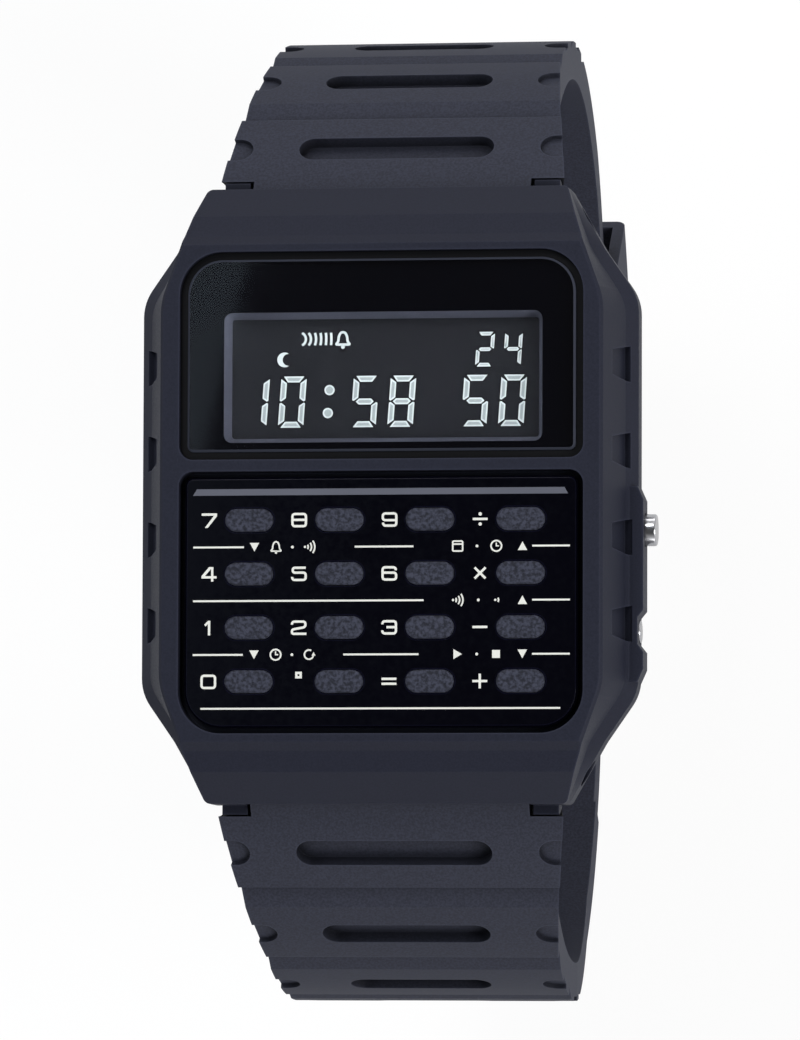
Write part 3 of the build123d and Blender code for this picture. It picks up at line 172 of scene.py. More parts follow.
class Shader:
    """A principled material with the nodes that its surface detail is made of."""

    def __init__(self, name):
        self.material = bpy.data.materials.new(name)
        self.material.use_nodes = True
        self.tree = self.material.node_tree
        self.body = self.tree.nodes["Principled BSDF"]
        self.normal = None

    def node(self, kind, settings=None, **inputs):
        return add_node(self.tree, kind, settings, **inputs)

    def link(self, output, socket):
        self.tree.links.new(output, socket)

    def place(self, stretch=(1, 1, 1)):
        """The object's own coordinates, stretched along its axes."""
        coordinates = self.node("ShaderNodeTexCoord")
        mapping = self.node("ShaderNodeMapping", Vector=coordinates.outputs["Object"])
        mapping.inputs["Scale"].default_value = stretch
        return mapping.outputs["Vector"]

    def noise(self, size, detail=2.0, rough=0.5, stretch=(1, 1, 1)):
        """Noise whose blobs are about size millimetres."""
        made = self.node("ShaderNodeTexNoise", Vector=self.place(stretch))
        made.inputs["Scale"].default_value = 1 / (size * MM)
        made.inputs["Detail"].default_value = detail
        made.inputs["Roughness"].default_value = rough
        return made.outputs["Fac"]

    def between(self, factor, low, high, from_low=0.3, from_high=0.7):
        made = self.node("ShaderNodeMapRange", Value=factor)
        made.inputs["From Min"].default_value = from_low
        made.inputs["From Max"].default_value = from_high
        made.inputs["To Min"].default_value = low
        made.inputs["To Max"].default_value = high
        return made.outputs["Result"]

    def mix(self, factor, low, high):
        made = self.node("ShaderNodeMix", {"data_type": "RGBA"})
        sockets = [socket for socket in made.inputs if socket.enabled]
        for socket, value in zip(sockets, (factor, low, high)):
            feed(self.tree, socket, value)
        return [socket for socket in made.outputs if socket.enabled][0]

    def round_edges(self, radius):
        made = self.node("ShaderNodeBevel", {"samples": BEVEL_SAMPLES}, Radius=radius * MM)
        self.normal = made.outputs["Normal"]

    def bump(self, height, depth):
        made = self.node("ShaderNodeBump", Height=height, Strength=1.0, Distance=depth * MM)
        if self.normal is not None:
            self.link(self.normal, made.inputs["Normal"])
        self.normal = made.outputs["Normal"]

    def edge_mask(self, radius):
        """1 along the edges, falling to 0 a little way from them. Wear and a painted highlight
        lighten the edges where it is 1.
        """
        soft = self.node("ShaderNodeBevel", {"samples": BEVEL_SAMPLES}, Radius=radius * MM)
        sharp = self.node("ShaderNodeNewGeometry")
        dot = self.node("ShaderNodeVectorMath", {"operation": "DOT_PRODUCT"})
        self.link(soft.outputs["Normal"], dot.inputs[0])
        self.link(sharp.outputs["Normal"], dot.inputs[1])
        return self.between(dot.outputs["Value"], 1.0, 0.0, WEAR_AND_HIGHLIGHT_BELOW, WEAR_AND_HIGHLIGHT_ABOVE)

    def openness(self):
        """1 on open ground, less in grooves and slots that walls stand round. Shade is painted
        where it is low.
        """
        samples = {"samples": GROOVE_SAMPLES}
        made = self.node("ShaderNodeAmbientOcclusion", samples, Distance=GROOVE_REACH * MM)
        return made.outputs["AO"]

    def done(self, metallic=0.0, specular=0.5, coat=0.0, coat_roughness=0.1, ior=1.5):
        self.body.inputs["Metallic"].default_value = metallic
        self.body.inputs["Specular IOR Level"].default_value = specular
        self.body.inputs["Coat Weight"].default_value = coat
        self.body.inputs["Coat Roughness"].default_value = coat_roughness
        self.body.inputs["IOR"].default_value = ior
        if self.normal is not None:
            self.link(self.normal, self.body.inputs["Normal"])
        return self.material


def moulded(
    name, colour, roughness, grain=0.12, depth=0.006,
    mottle=0.08, edge=0.06, wear_and_edge_highlight=0.0, speckle=0.0, painted_groove_shade=0.0, **finish,
):
    """Moulded plastic or rubber: fine grain, faint mottle, edges lightened by wear and a painted
    highlight, and painted shade in grooves.
    """
    shader = Shader(name)
    cloud = shader.noise(CLOUD_SIZE, detail=3.0)
    speck = shader.noise(grain, detail=2.0, rough=0.6)
    low, high = scaled(colour, 1 - mottle), scaled(colour, 1 + mottle)
    tint = shader.mix(shader.between(cloud, 0.0, 1.0), low, high)
    if speckle:
        fleck = shader.between(speck, 0.0, 1.0, FLECK_BELOW, FLECK_ABOVE)
        tint = shader.mix(fleck, scaled(colour, 1 - speckle), scaled(colour, 1 + speckle))
    # Lighter edges: partly rubbed wear, partly a painted highlight where the edges catch light
    if wear_and_edge_highlight:
        wear_and_highlight_mask = shader.edge_mask(edge * WEAR_AND_HIGHLIGHT_REACH)
        tint = shader.mix(wear_and_highlight_mask, tint, scaled(colour, 1 + wear_and_edge_highlight))
    # Painted shade: the colour darkens in grooves and slots, where shade falls
    if painted_groove_shade:
        groove_shade_mask = shader.between(shader.openness(), painted_groove_shade, 0.0, GROOVE_DARKEST, GROOVE_CLEAR)
        tint = shader.mix(groove_shade_mask, tint, scaled(colour, GROOVE_SHADE))
    shader.link(tint, shader.body.inputs["Base Color"])
    gloss = shader.between(speck, roughness - GLOSSIER_BY, roughness + DULLER_BY)
    shader.link(gloss, shader.body.inputs["Roughness"])
    if edge:
        shader.round_edges(edge)
    shader.bump(speck, depth)
    return shader.done(**finish)


def metal(name, colour, roughness, stretch=(1, 1, 1), grain=0.1, depth=0.002, **finish):
    """Metal with brushing along one axis, and faint smudges in its gloss."""
    shader = Shader(name)
    brush = shader.noise(grain, detail=3.0, rough=0.7, stretch=stretch)
    smudge = shader.noise(SMUDGE_SIZE, detail=4.0, rough=0.6)
    low, high = scaled(colour, BRUSH_DARKEST), scaled(colour, BRUSH_LIGHTEST)
    tint = shader.mix(shader.between(brush, 0.0, 1.0), low, high)
    shader.link(tint, shader.body.inputs["Base Color"])
    smooth, rough = roughness * SMUDGE_SMOOTHEST, roughness * SMUDGE_ROUGHEST
    gloss = shader.between(smudge, smooth, rough)
    shader.link(gloss, shader.body.inputs["Roughness"])
    shader.round_edges(METAL_EDGE)
    shader.bump(brush, depth)
    return shader.done(metallic=1.0, **finish)


def clear(name, tint, bevel_highlight_colour):
    """Clear resin glass with a matt ground bevel whose light grey is also a painted highlight
    along its edge. Light that falls through it is not blocked.
    """
    shader = Shader(name)
    haze = shader.noise(HAZE_SIZE, detail=4.0)
    gloss = shader.between(haze, GLASS_ROUGHNESS, 2 * GLASS_ROUGHNESS)
    shader.link(gloss, shader.body.inputs["Roughness"])
    shader.body.inputs["Base Color"].default_value = tint
    shader.body.inputs["Transmission Weight"].default_value = 1.0
    material = shader.done(specular=0.1, coat=0.1, coat_roughness=0.08, ior=GLASS_IOR)

    # The bevel is where the surface is not level
    facing = shader.node("ShaderNodeNewGeometry")
    parts = shader.node("ShaderNodeSeparateXYZ", Vector=facing.outputs["True Normal"])
    slope = shader.node("ShaderNodeMath", {"operation": "ABSOLUTE"})
    shader.link(parts.outputs["Z"], slope.inputs[0])
    bevel = shader.between(slope.outputs["Value"], 1.0, 0.0, BEVEL_BELOW, FLAT_ABOVE)
    # The bevel's light grey is partly a ground finish, partly a painted highlight along the
    # crystal's edge
    ground = shader.node("ShaderNodeBsdfDiffuse", Color=bevel_highlight_colour).outputs["BSDF"]
    solid = mix_shaders(shader.tree, bevel, shader.body.outputs["BSDF"], ground)

    # Shadow rays pass straight through
    path = shader.node("ShaderNodeLightPath")
    open_way = shader.node("ShaderNodeBsdfTransparent", Color=tint).outputs["BSDF"]
    surface = mix_shaders(shader.tree, path.outputs["Is Shadow Ray"], solid, open_way)
    shader.link(surface, shader.tree.nodes["Material Output"].inputs["Surface"])
    return material


def striped(name, first, second, pitch, axis):
    """Alternating stripes across one axis, for the layered rubber connectors."""
    shader = Shader(name)
    parts = shader.node("ShaderNodeSeparateXYZ", Vector=shader.place((1 / (pitch * MM),) * 3))
    wave = shader.node("ShaderNodeMath", {"operation": "FRACT"})
    shader.link(parts.outputs[axis], wave.inputs[0])
    mask = shader.between(wave.outputs["Value"], 0.0, 1.0, STRIPE_BELOW, STRIPE_ABOVE)
    shader.link(shader.mix(mask, first, second), shader.body.inputs["Base Color"])
    shader.body.inputs["Roughness"].default_value = STRIPE_ROUGHNESS
    shader.bump(shader.noise(STRIPE_GRAIN), STRIPE_DEPTH)
    return shader.done()


def circuit(name, mask_colour, track_colour):
    """Solder mask over faint copper tracks."""
    shader = Shader(name)
    layout = {"feature": "DISTANCE_TO_EDGE", "distance": "MANHATTAN"}
    cells = shader.node("ShaderNodeTexVoronoi", layout)
    shader.link(shader.place(), cells.inputs["Vector"])
    cells.inputs["Scale"].default_value = 1 / (TRACK_PITCH * MM)
    track = shader.between(cells.outputs["Distance"], 1.0, 0.0, TRACK_BELOW, TRACK_ABOVE)
    tint = shader.mix(track, mask_colour, track_colour)
    shader.link(tint, shader.body.inputs["Base Color"])
    gloss = shader.between(shader.noise(BOARD_GRAIN), BOARD_SMOOTHEST, BOARD_ROUGHEST)
    shader.link(gloss, shader.body.inputs["Roughness"])
    shader.bump(track, TRACK_HEIGHT)
    return shader.done()


CASE_COLOUR = srgb(37, 39, 51)
STRAP_COLOUR = srgb(51, 53, 65)
PANEL_COLOUR = srgb(4, 4, 11)

# One material for each slot that the record names
looks = {
    # The case's grooves get painted shade, and its edges a painted highlight along with wear
    "case_resin": moulded(
        "case_resin", CASE_COLOUR, roughness=0.5, grain=0.14, depth=0.005, edge=0.1,
        wear_and_edge_highlight=0.9, speckle=0.1, painted_groove_shade=0.5, specular=0.1,
    ),
    # The strap's grooves get painted shade, and its edges a painted highlight along with wear
    "strap_resin": moulded(
        "strap_resin", STRAP_COLOUR, roughness=0.62, grain=0.17, depth=0.012, edge=0.09,
        wear_and_edge_highlight=0.5, speckle=0.2, painted_groove_shade=0.9, specular=0.14,
    ),
    # Its bevel's grey is partly a painted highlight along the edge
    "crystal": clear(
        "crystal_glass", tint=(0.97, 0.98, 1.0, 1.0), bevel_highlight_colour=srgb(64, 67, 78),
    ),
    "mask_print": moulded(
        "mask_print", PANEL_COLOUR, roughness=0.3, depth=0.0005, edge=0, specular=0.04,
    ),
    "display_surround": moulded(
        "display_surround", srgb(78, 80, 92), roughness=0.5, grain=0.1, depth=0.003,
        wear_and_edge_highlight=0.5, specular=0.25,
    ),
    "lcd": moulded(
        "lcd_ground", srgb(29, 30, 34), roughness=0.4, grain=0.3, depth=0.0004,
        mottle=0.03, edge=0, specular=0.05,
    ),
    # The strong edge lightening here is a painted highlight along the panels' edges
    "panel_gloss": moulded(
        "panel_gloss", PANEL_COLOUR, roughness=0.14, grain=0.4, depth=0.0006,
        wear_and_edge_highlight=12.0, specular=0.1,
    ),
    "key_plastic": moulded(
        "key_plastic", srgb(54, 56, 68), roughness=0.62, grain=0.26, depth=0.05, edge=0.08,
        speckle=0.5, specular=0.14,
    ),
    "black_rubber": moulded(
        "black_rubber", srgb(10, 10, 13), roughness=0.6, grain=0.2, depth=0.004, specular=0.12,
    ),
    "membrane_rubber": moulded(
        "membrane_rubber", srgb(150, 150, 145), roughness=0.6, grain=0.2, depth=0.004,
    ),
    "connector_rubber": striped(
        "connector_rubber", srgb(170, 60, 70), srgb(20, 20, 22), pitch=0.18, axis="X",
    ),
    "board_green": circuit("board_green", srgb(14, 62, 38), srgb(40, 104, 62)),
    "chip_black": moulded(
        "chip_black", srgb(20, 20, 22), roughness=0.55, grain=0.1, depth=0.004,
    ),
    "module_plastic": moulded(
        "module_plastic", srgb(28, 28, 31), roughness=0.5, grain=0.15, depth=0.004,
    ),
    "steel": metal(
        "brushed_steel", (0.5, 0.5, 0.51, 1), roughness=0.3, stretch=(0.04, 1, 1), grain=0.08,
    ),
    "bright_steel": metal(
        "bright_steel", (0.5, 0.5, 0.52, 1), roughness=0.16, stretch=(1, 0.2, 1), depth=0.0008,
    ),
    "spring_steel": metal("spring_steel", (0.45, 0.45, 0.47, 1), roughness=0.32, grain=0.2),
    "clear_sheet": moulded(
        "insulating_film", srgb(196, 186, 150), roughness=0.25, grain=0.5, depth=0.001, edge=0,
    ),
    "brass": metal("brass_disc", (0.72, 0.53, 0.24, 1), roughness=0.25, grain=0.15),
    "contact_gold": metal("contact_gold", (0.8, 0.6, 0.28, 1), roughness=0.2, grain=0.2),
    "buckle_resin": moulded(
        "buckle_resin", srgb(27, 32, 44), roughness=0.4, grain=0.16, depth=0.003,
        wear_and_edge_highlight=0.6, specular=0.3,
    ),
}
for entry in frame["record"]["subparts"]:
    for place in frame["nodes"][entry["node"]].material_slots:
        place.material = looks[entry["material_slot"]]


def ink(name, colour, roughness, mottle):
    return moulded(name, colour, roughness, grain=0.08, depth=0.001, mottle=mottle, edge=0)


def segment(name, colour, **finish):
    return moulded(name, colour, roughness=0.4, grain=0.2, depth=0.0004, edge=0, **finish)


white_print = ink("white_print", srgb(240, 240, 232), roughness=0.5, mottle=0.03)
# Grey for the painted highlight band on the keypad plate
painted_band_highlight = ink("painted_band_highlight", srgb(90, 92, 104), roughness=0.4, mottle=0.04)
segment_light = segment("segment_light", srgb(204, 212, 209), mottle=0.04)
segment_core = segment("segment_core", srgb(154, 164, 162), mottle=0.04)
# Painted shadow round the display's figures
segment_shadow = segment("segment_shadow", srgb(10, 11, 13), specular=0.05)


# Flat marks: outlines in millimetres on a plane of constant height

CORNER_STEPS = 5
ROUND_STEPS = 24
SMALL_ROUND_STEPS = 16
TIGHTEST_CORNER = 0.7
SAME_POINT = 1e-4


def rounded(points, radius, width, closed=False):
    """The path with its corners curved, except those too tight for the line's width."""
    count = len(points)
    path = []
    for index, point in enumerate(points):
        here = Vector(point)
        if not closed and index in (0, count - 1):
            path.append(here)
            continue
        before, after = Vector(points[index - 1]), Vector(points[(index + 1) % count])
        share_in = 1 if not closed and index == 1 else 2
        share_out = 1 if not closed and index == count - 2 else 2
        room_in, room_out = (here - before).length / share_in, (after - here).length / share_out
        reach = min(radius, room_in, room_out)
        if reach < TIGHTEST_CORNER * width:
            path.append(here)
            continue
        first = here + (before - here).normalized() * reach
        last = here + (after - here).normalized() * reach
        for step in range(CORNER_STEPS + 1):
            share = step / CORNER_STEPS
            path.append(first.lerp(here, share).lerp(here.lerp(last, share), share))
    clean = [path[0]]
    for point in path[1:]:
        if (point - clean[-1]).length > SAME_POINT:
            clean.append(point)
    if closed and (clean[0] - clean[-1]).length < SAME_POINT:
        clean.pop()
    return clean


SHARPEST_JOIN = 0.5
SHARPEST_TIP = 0.35


def ribbon(points, width, closed=False):
    """Outlines that make up a line of the given width: one, or two halves where it is closed."""
    count = len(points)
    left, right = [], []
    for index, here in enumerate(points):
        before = points[index - 1] if closed or index else None
        after = points[(index + 1) % count] if closed or index < count - 1 else None
        entry = (here - before).normalized() if before is not None else None
        leave = (after - here).normalized() if after is not None else None
        if entry is None:
            entry = leave
        if leave is None:
            leave = entry
        middle = (entry + leave).normalized()
        across = Vector((-middle.y, middle.x))
        reach = width / 2 / max(SHARPEST_JOIN, across.dot(Vector((-entry.y, entry.x))))
        left.append(here + across * reach)
        right.append(here - across * reach)
    if not closed:
        return [right + list(reversed(left))]
    half = count // 2
    first = right[:half + 1] + list(reversed(left[:half + 1]))
    second = right[half:] + right[:1] + left[:1] + list(reversed(left[half:]))
    return [first, second]


def vectors(corners):
    return [Vector(corner) for corner in corners]


def signed_area(outline):
    """Twice the area inside, above 0 where the outline turns to the left."""
    return sum(a.x * b.y - b.x * a.y for a, b in zip(outline, [*outline[1:], outline[0]]))


def disc(x, y, radius, steps=ROUND_STEPS):
    turns = [2 * math.pi * step / steps for step in range(steps)]
    return [Vector((x + radius * math.cos(turn), y + radius * math.sin(turn))) for turn in turns]


def arc(x, y, radius, start, end, steps=SMALL_ROUND_STEPS):
    turns = [math.radians(start + (end - start) * step / steps) for step in range(steps + 1)]
    return [Vector((x + radius * math.cos(turn), y + radius * math.sin(turn))) for turn in turns]


def spread(outline, distance):
    """A convex outline moved out, or in where distance is negative."""
    count = len(outline)
    moved = []
    for index, here in enumerate(outline):
        entry = (here - outline[index - 1]).normalized()
        leave = (outline[(index + 1) % count] - here).normalized()
        middle = (Vector((entry.y, -entry.x)) + Vector((leave.y, -leave.x))).normalized()
        reach = distance / max(SHARPEST_TIP, middle.dot(Vector((entry.y, -entry.x))))
        moved.append(here + middle * reach)
    return moved


def mark(name, outlines, bottom, top, material):
    """A thin layer in one piece, from a list of outlines. It rides on the watch head."""
    mesh = bmesh.new()
    for outline in outlines:
        ring = list(outline) if signed_area(outline) > 0 else list(reversed(outline))
        high = [mesh.verts.new((p.x * MM, p.y * MM, top * MM)) for p in ring]
        low = [mesh.verts.new((p.x * MM, p.y * MM, bottom * MM)) for p in ring]
        mesh.faces.new(high)
        mesh.faces.new(list(reversed(low)))
        for index in range(len(ring)):
            following = (index + 1) % len(ring)
            mesh.faces.new((low[index], low[following], high[following], high[index]))
    data = bpy.data.meshes.new(name)
    mesh.to_mesh(data)
    mesh.free()
    piece = bpy.data.objects.new(name, data)
    bpy.context.scene.collection.objects.link(piece)
    piece.data.materials.append(material)
    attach(piece, HEAD)


# Symbols beside the keys. Their points are in half widths and half heights of a symbol. A line
# and a loop are ribbons with round corners, a frame is a loop with sharp ones, a patch is
# filled and a dot is a disc.

STROKES = {
    "0": [("loop", [(-1, -1), (1, -1), (1, 1), (-1, 1)])],
    "1": [
        ("patch", [(-0.1, -1.2), (0.25, -1.2), (0.25, 1.19), (-0.1, 1.19)]),
        ("patch", [(-0.1, 1.19), (-0.65, 0.55), (-0.45, 0.25), (-0.1, 0.66)]),
    ],
    "2": [("line", [(-1, 0.5), (-1, 1), (1, 1), (1, 0.1), (-1, -0.3), (-1, -1), (1.15, -1)])],
    "3": [
        ("line", [(-1, 0.5), (-1, 1), (1, 1), (1, -1), (-1, -1), (-1, -0.5)]),
        ("line", [(-0.4, 0.03), (0.82, 0.03)]),
    ],
    "4": [
        ("patch", [(0.33, -1.2), (0.67, -1.2), (0.67, 1.19), (0.33, 1.19)]),
        ("patch", [(-1.1, -0.3), (-0.6, -0.3), (0.33, 0.9), (0.33, 1.19), (0.02, 1.19)]),
        ("patch", [(-1.1, -0.69), (0.33, -0.69), (0.33, -0.3), (-1.1, -0.3)]),
        ("patch", [(0.67, -0.69), (1.15, -0.69), (1.15, -0.3), (0.67, -0.3)]),
    ],
    "5": [("line", [(1, 1), (-0.92, 1), (-0.92, 0.2), (1, 0.2), (1, -1), (-1, -1), (-1, -0.5)])],
    "6": [("line", [
        (0.95, 0.5), (0.95, 1), (-1, 1), (-1, -1), (1, -1), (1, 0.12), (-0.82, 0.12),
    ])],
    "7": [("patch", [
        (-1.1, 1.19), (1.17, 1.19), (1.17, 0.72), (-0.2, -1.2),
        (-0.64, -1.2), (0.72, 0.8), (-1.1, 0.8),
    ])],
    "8": [
        ("loop", [(-1, -1), (1, -1), (1, 1), (-1, 1)]),
        ("line", [(-0.82, 0.04), (0.82, 0.04)]),
    ],
    "9": [("line", [
        (-0.95, -0.5), (-0.95, -1), (1, -1), (1, 1), (-1, 1), (-1, -0.1), (0.82, -0.1),
    ])],
    "divide": [("line", [(-1.1, 0), (1.1, 0)]), ("dot", (0, 0.82)), ("dot", (0, -0.82))],
    "times": [
        ("line", [(-0.8, -0.894), (0.8, 0.894)]),
        ("line", [(-0.8, 0.894), (-0.123, 0.137)]),
        ("line", [(0.123, -0.137), (0.8, -0.894)]),
    ],
    "minus": [("line", [(-1.1, 0), (1.1, 0)])],
    "plus": [
        ("line", [(-1.1, 0), (1.1, 0)]),
        ("line", [(0, 0.195), (0, 1.2)]),
        ("line", [(0, -1.2), (0, -0.195)]),
    ],
    "equals": [("line", [(-1.1, 0.4), (1.1, 0.4)]), ("line", [(-1.1, -0.4), (1.1, -0.4)])],
    "point": [("frame", [(-0.32, 0.72), (0.32, 0.72), (0.32, 1.42), (-0.32, 1.42)])],
}
SYMBOL_HALF_WIDTH = 0.475
SYMBOL_HALF_HEIGHT = 0.425
SYMBOL_LINE = 0.165
SYMBOL_CORNER = 0.2
SYMBOL_DOT = 0.72 * SYMBOL_LINE
SYMBOL_TO_KEY = 2.84
PRINT_HEIGHT = 0.012


def symbol(name, x, y):
    outlines = []
    for kind, data in STROKES[name]:
        if kind == "dot":
            place = (x + data[0] * SYMBOL_HALF_WIDTH, y + data[1] * SYMBOL_HALF_HEIGHT)
            outlines.append(disc(*place, SYMBOL_DOT))
            continue
        points = vectors((x + u * SYMBOL_HALF_WIDTH, y + v * SYMBOL_HALF_HEIGHT) for u, v in data)
        if kind == "patch":
            outlines.append(points)
            continue
        closed = kind != "line"
        corner = 0 if kind == "frame" else SYMBOL_CORNER
        path = rounded(points, corner, SYMBOL_LINE, closed)
        outlines.extend(ribbon(path, SYMBOL_LINE, closed))
    return outlines


def key_centre(name):
    low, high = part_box(name)
    return ((low.x + high.x) / 2 / MM, (low.y + high.y) / 2 / MM)


def print_on_plate(name, outlines, material=white_print):
    mark(name, outlines, PLATE_TOP - SINK, PLATE_TOP + PRINT_HEIGHT, material)


symbols = []
for row in KEY_ROWS:
    for key in row:
        key_x, key_y = key_centre(key)
        symbols += symbol(key.split("_")[1], key_x - SYMBOL_TO_KEY, key_y)
print_on_plate("print_symbols", symbols)


# Fine lines between the rows of keys, with small triangles where a row of signs ends

LINE_WIDTH = 0.13
LINE_LEFT = -13.19
LINE_RIGHT = 13.24
LINE_RESUMES = 10.61
TRIANGLE_LEFT = -8.87
TRIANGLE_RIGHT = 9.93
TRIANGLE_HALF = 0.33
TRIANGLE_SHAPE = 0.92
row_ys = [key_centre(row[0])[1] for row in KEY_ROWS]
row_step = row_ys[0] - row_ys[1]
line_ys = [y - row_step / 2 for y in row_ys]
line_spans = [
    (line_ys[0], ((LINE_LEFT, -9.61), (-1.82, 2.30), (LINE_RESUMES, LINE_RIGHT))),
    (line_ys[1], ((LINE_LEFT, 3.03), (LINE_RESUMES, LINE_RIGHT))),
    (line_ys[2], ((LINE_LEFT, -9.66), (-2.59, 2.68), (LINE_RESUMES, LINE_RIGHT))),
    (line_ys[3], ((-12.63, 12.58),)),
]
lines = []
for line_y, spans in line_spans:
    for span_start, span_end in spans:
        lines += ribbon(vectors(((span_start, line_y), (span_end, line_y))), LINE_WIDTH)


def triangle(x, y, direction, half=TRIANGLE_HALF):
    """A filled triangle that points up where direction is 1, and down where it is -1."""
    height = half * TRIANGLE_SHAPE * direction
    return vectors(((x - half, y - height), (x + half, y - height), (x, y + height)))


for line_y, triangle_x, direction in (
    (line_ys[0], TRIANGLE_LEFT, -1),
    (line_ys[0], TRIANGLE_RIGHT, 1),
    (line_ys[1], TRIANGLE_RIGHT, 1),
    (line_ys[2], TRIANGLE_LEFT, -1),
    (line_ys[2], TRIANGLE_RIGHT, -1),
):
    lines.append(triangle(triangle_x, line_y, direction))
print_on_plate("print_lines", lines)


# Small generic signs where a maker would print words. Each takes its middle and half its size.

ICON = 0.46
ICON_LINE = 0.11
ICON_DOT = 0.1
HAND_LINE = ICON_LINE * 0.8
WAVE_ANGLE = 38
WAVE_COUNT = 3
RESET_START = 60
RESET_END = 345


def bell(x, y, size, line=ICON_LINE):
    rim = [
        (-0.85, -0.6), (-0.5, -0.25), (-0.5, 0.3), (-0.22, 0.8),
        (0.22, 0.8), (0.5, 0.3), (0.5, -0.25), (0.85, -0.6),
    ]
    points = vectors((x + u * size, y + v * size) for u, v in rim)
    corner, clapper_y, clapper = 0.3 * size, y - 0.6 * size - line, 0.8 * line
    body = ribbon(rounded(points, corner, line, closed=True), line, closed=True)
    return body + [disc(x, clapper_y, clapper, SMALL_ROUND_STEPS)]


def clock(x, y, size):
    radius, long_hand, short_hand = 0.8 * size, 0.5 * size, 0.4 * size
    face = ribbon(disc(x, y, radius), ICON_LINE, closed=True)
    hands = vectors(((x, y + long_hand), (x, y), (x + short_hand, y)))
    return face + ribbon(hands, HAND_LINE)


def square(x, y, half):
    corners = ((-half, -half), (half, -half), (half, half), (-half, half))
    return vectors((x + u, y + v) for u, v in corners)


def page(x, y, size):
    half, corner, bar_y = 0.75 * size, 0.2 * size, y + 0.3 * size
    inside = half - ICON_LINE / 2
    bar = ribbon(vectors(((x - inside, bar_y), (x + inside, bar_y))), ICON_LINE)
    path = rounded(square(x, y, half), corner, ICON_LINE, closed=True)
    return ribbon(path, ICON_LINE, closed=True) + bar


def waves(x, y, size, count=WAVE_COUNT):
    source_x, source_radius, step = x - 0.9 * size, 0.18 * size, 0.5 * size
    made = [disc(source_x, y, source_radius, SMALL_ROUND_STEPS)]
    for ring in range(1, count + 1):
        made += ribbon(arc(source_x, y, ring * step, -WAVE_ANGLE, WAVE_ANGLE), ICON_LINE)
    return made


def one_wave(x, y, size):
    return waves(x, y, size, 1)


def reset(x, y, size):
    radius, tip_y, tip_half = 0.7 * size, y + 0.12 * size, 0.3 * size
    ring = ribbon(arc(x, y, radius, RESET_START, RESET_END), ICON_LINE)
    return ring + [triangle(x + radius, tip_y, 1, tip_half)]


def play(x, y, size):
    back, tip, half = x - 0.6 * size, x + 0.7 * size, 0.75 * size
    return [vectors(((back, y - half), (tip, y), (back, y + half)))]


def stop(x, y, size):
    half = 0.6 * size
    return [square(x, y, half)]


def dot(x, y, radius):
    return [disc(x, y, radius, SMALL_ROUND_STEPS)]


def crescent(x, y, radius, bite, shift, grow=0.0):
    """A moon: a disc with a smaller disc cut out of its right side."""
    outer, inner = radius + grow, bite - grow
    reach = (outer ** 2 - inner ** 2 + shift ** 2) / (2 * shift)
    height = math.sqrt(outer ** 2 - reach ** 2)
    wide = math.degrees(math.atan2(height, reach))
    narrow = math.degrees(math.atan2(height, reach - shift))
    back = arc(x, y, outer, wide, 360 - wide, ROUND_STEPS)
    front = arc(x + shift, y, inner, 360 - narrow, narrow)
    return back + front[1:-1]


# The signs between the rows of keys: what is drawn, where along the line, and its size
SIGN_ROWS = (
    (
        (bell, -7.35, ICON), (dot, -6.2, ICON_DOT), (waves, -4.9, ICON),
        (page, 5.4, ICON), (dot, 6.75, ICON_DOT), (clock, 8.1, ICON),
    ),
    ((waves, 5.5, ICON), (dot, 6.85, ICON_DOT), (one_wave, 8.45, ICON)),
    (
        (clock, -7.35, ICON), (dot, -6.2, ICON_DOT), (reset, -5.0, ICON),
        (play, 5.4, ICON), (dot, 6.75, ICON_DOT), (stop, 8.1, ICON),
    ),
)
signs = []
for line_y, sign_row in zip(line_ys, SIGN_ROWS):
    for draw, sign_x, sign_size in sign_row:
        signs += draw(sign_x, line_y, sign_size)
print_on_plate("print_signs", signs)

# Painted highlight: a grey band along the top of the keypad plate, where light catches a step in
# it
band = vectors(((-13.23, -0.2), (13.1, -0.2), (12.85, 0.25), (-12.95, 0.25)))
print_on_plate("highlight_band", [band], painted_band_highlight)


# The display's figures, as mitred seven-segment digits that lean a little

DIGIT_SEGMENTS = {
    "0": "abcdef", "1": "bc", "2": "abged", "4": "fgbc", "5": "afgcd", "8": "abcdefg",
}
LEAN = 0.07
MITRE_SHARE = 0.28
TIP_IN_SHARE = 0.6
TIP_UP_SHARE = 0.3


def digit(figure, x, y, width, height, stroke, gap):
    """Outlines of one figure. x, y is the middle of the box it fills."""
    right, top = width / 2, height / 2
    inner_x, inner_top = right - stroke, top - stroke
    cut = stroke * MITRE_SHARE
    half = stroke / 2
    tip_x, tip_y = right - half * TIP_IN_SHARE, half * TIP_UP_SHARE
    shapes = {
        "a": [
            (-right + cut, top), (-inner_x, inner_top), (inner_x, inner_top), (right - cut, top),
        ],
        "b": [
            (right, top - cut), (inner_x, inner_top), (inner_x, half), (tip_x, 0),
            (right, tip_y),
        ],
        "g": [
            (-inner_x, half), (-right + half, 0), (-inner_x, -half), (inner_x, -half),
            (right - half, 0), (inner_x, half),
        ],
    }
    shapes["d"] = [(u, -v) for u, v in shapes["a"]]
    shapes["c"] = [(u, -v) for u, v in shapes["b"]]
    shapes["f"] = [(-u, v) for u, v in shapes["b"]]
    shapes["e"] = [(-u, -v) for u, v in shapes["b"]]
    outlines = []
    for segment in DIGIT_SEGMENTS[figure]:
        points = vectors((x + u + v * LEAN, y + v) for u, v in shapes[segment])
        if signed_area(points) < 0:
            points.reverse()
        outlines.append(spread(points, -gap / 2))
    return outlines


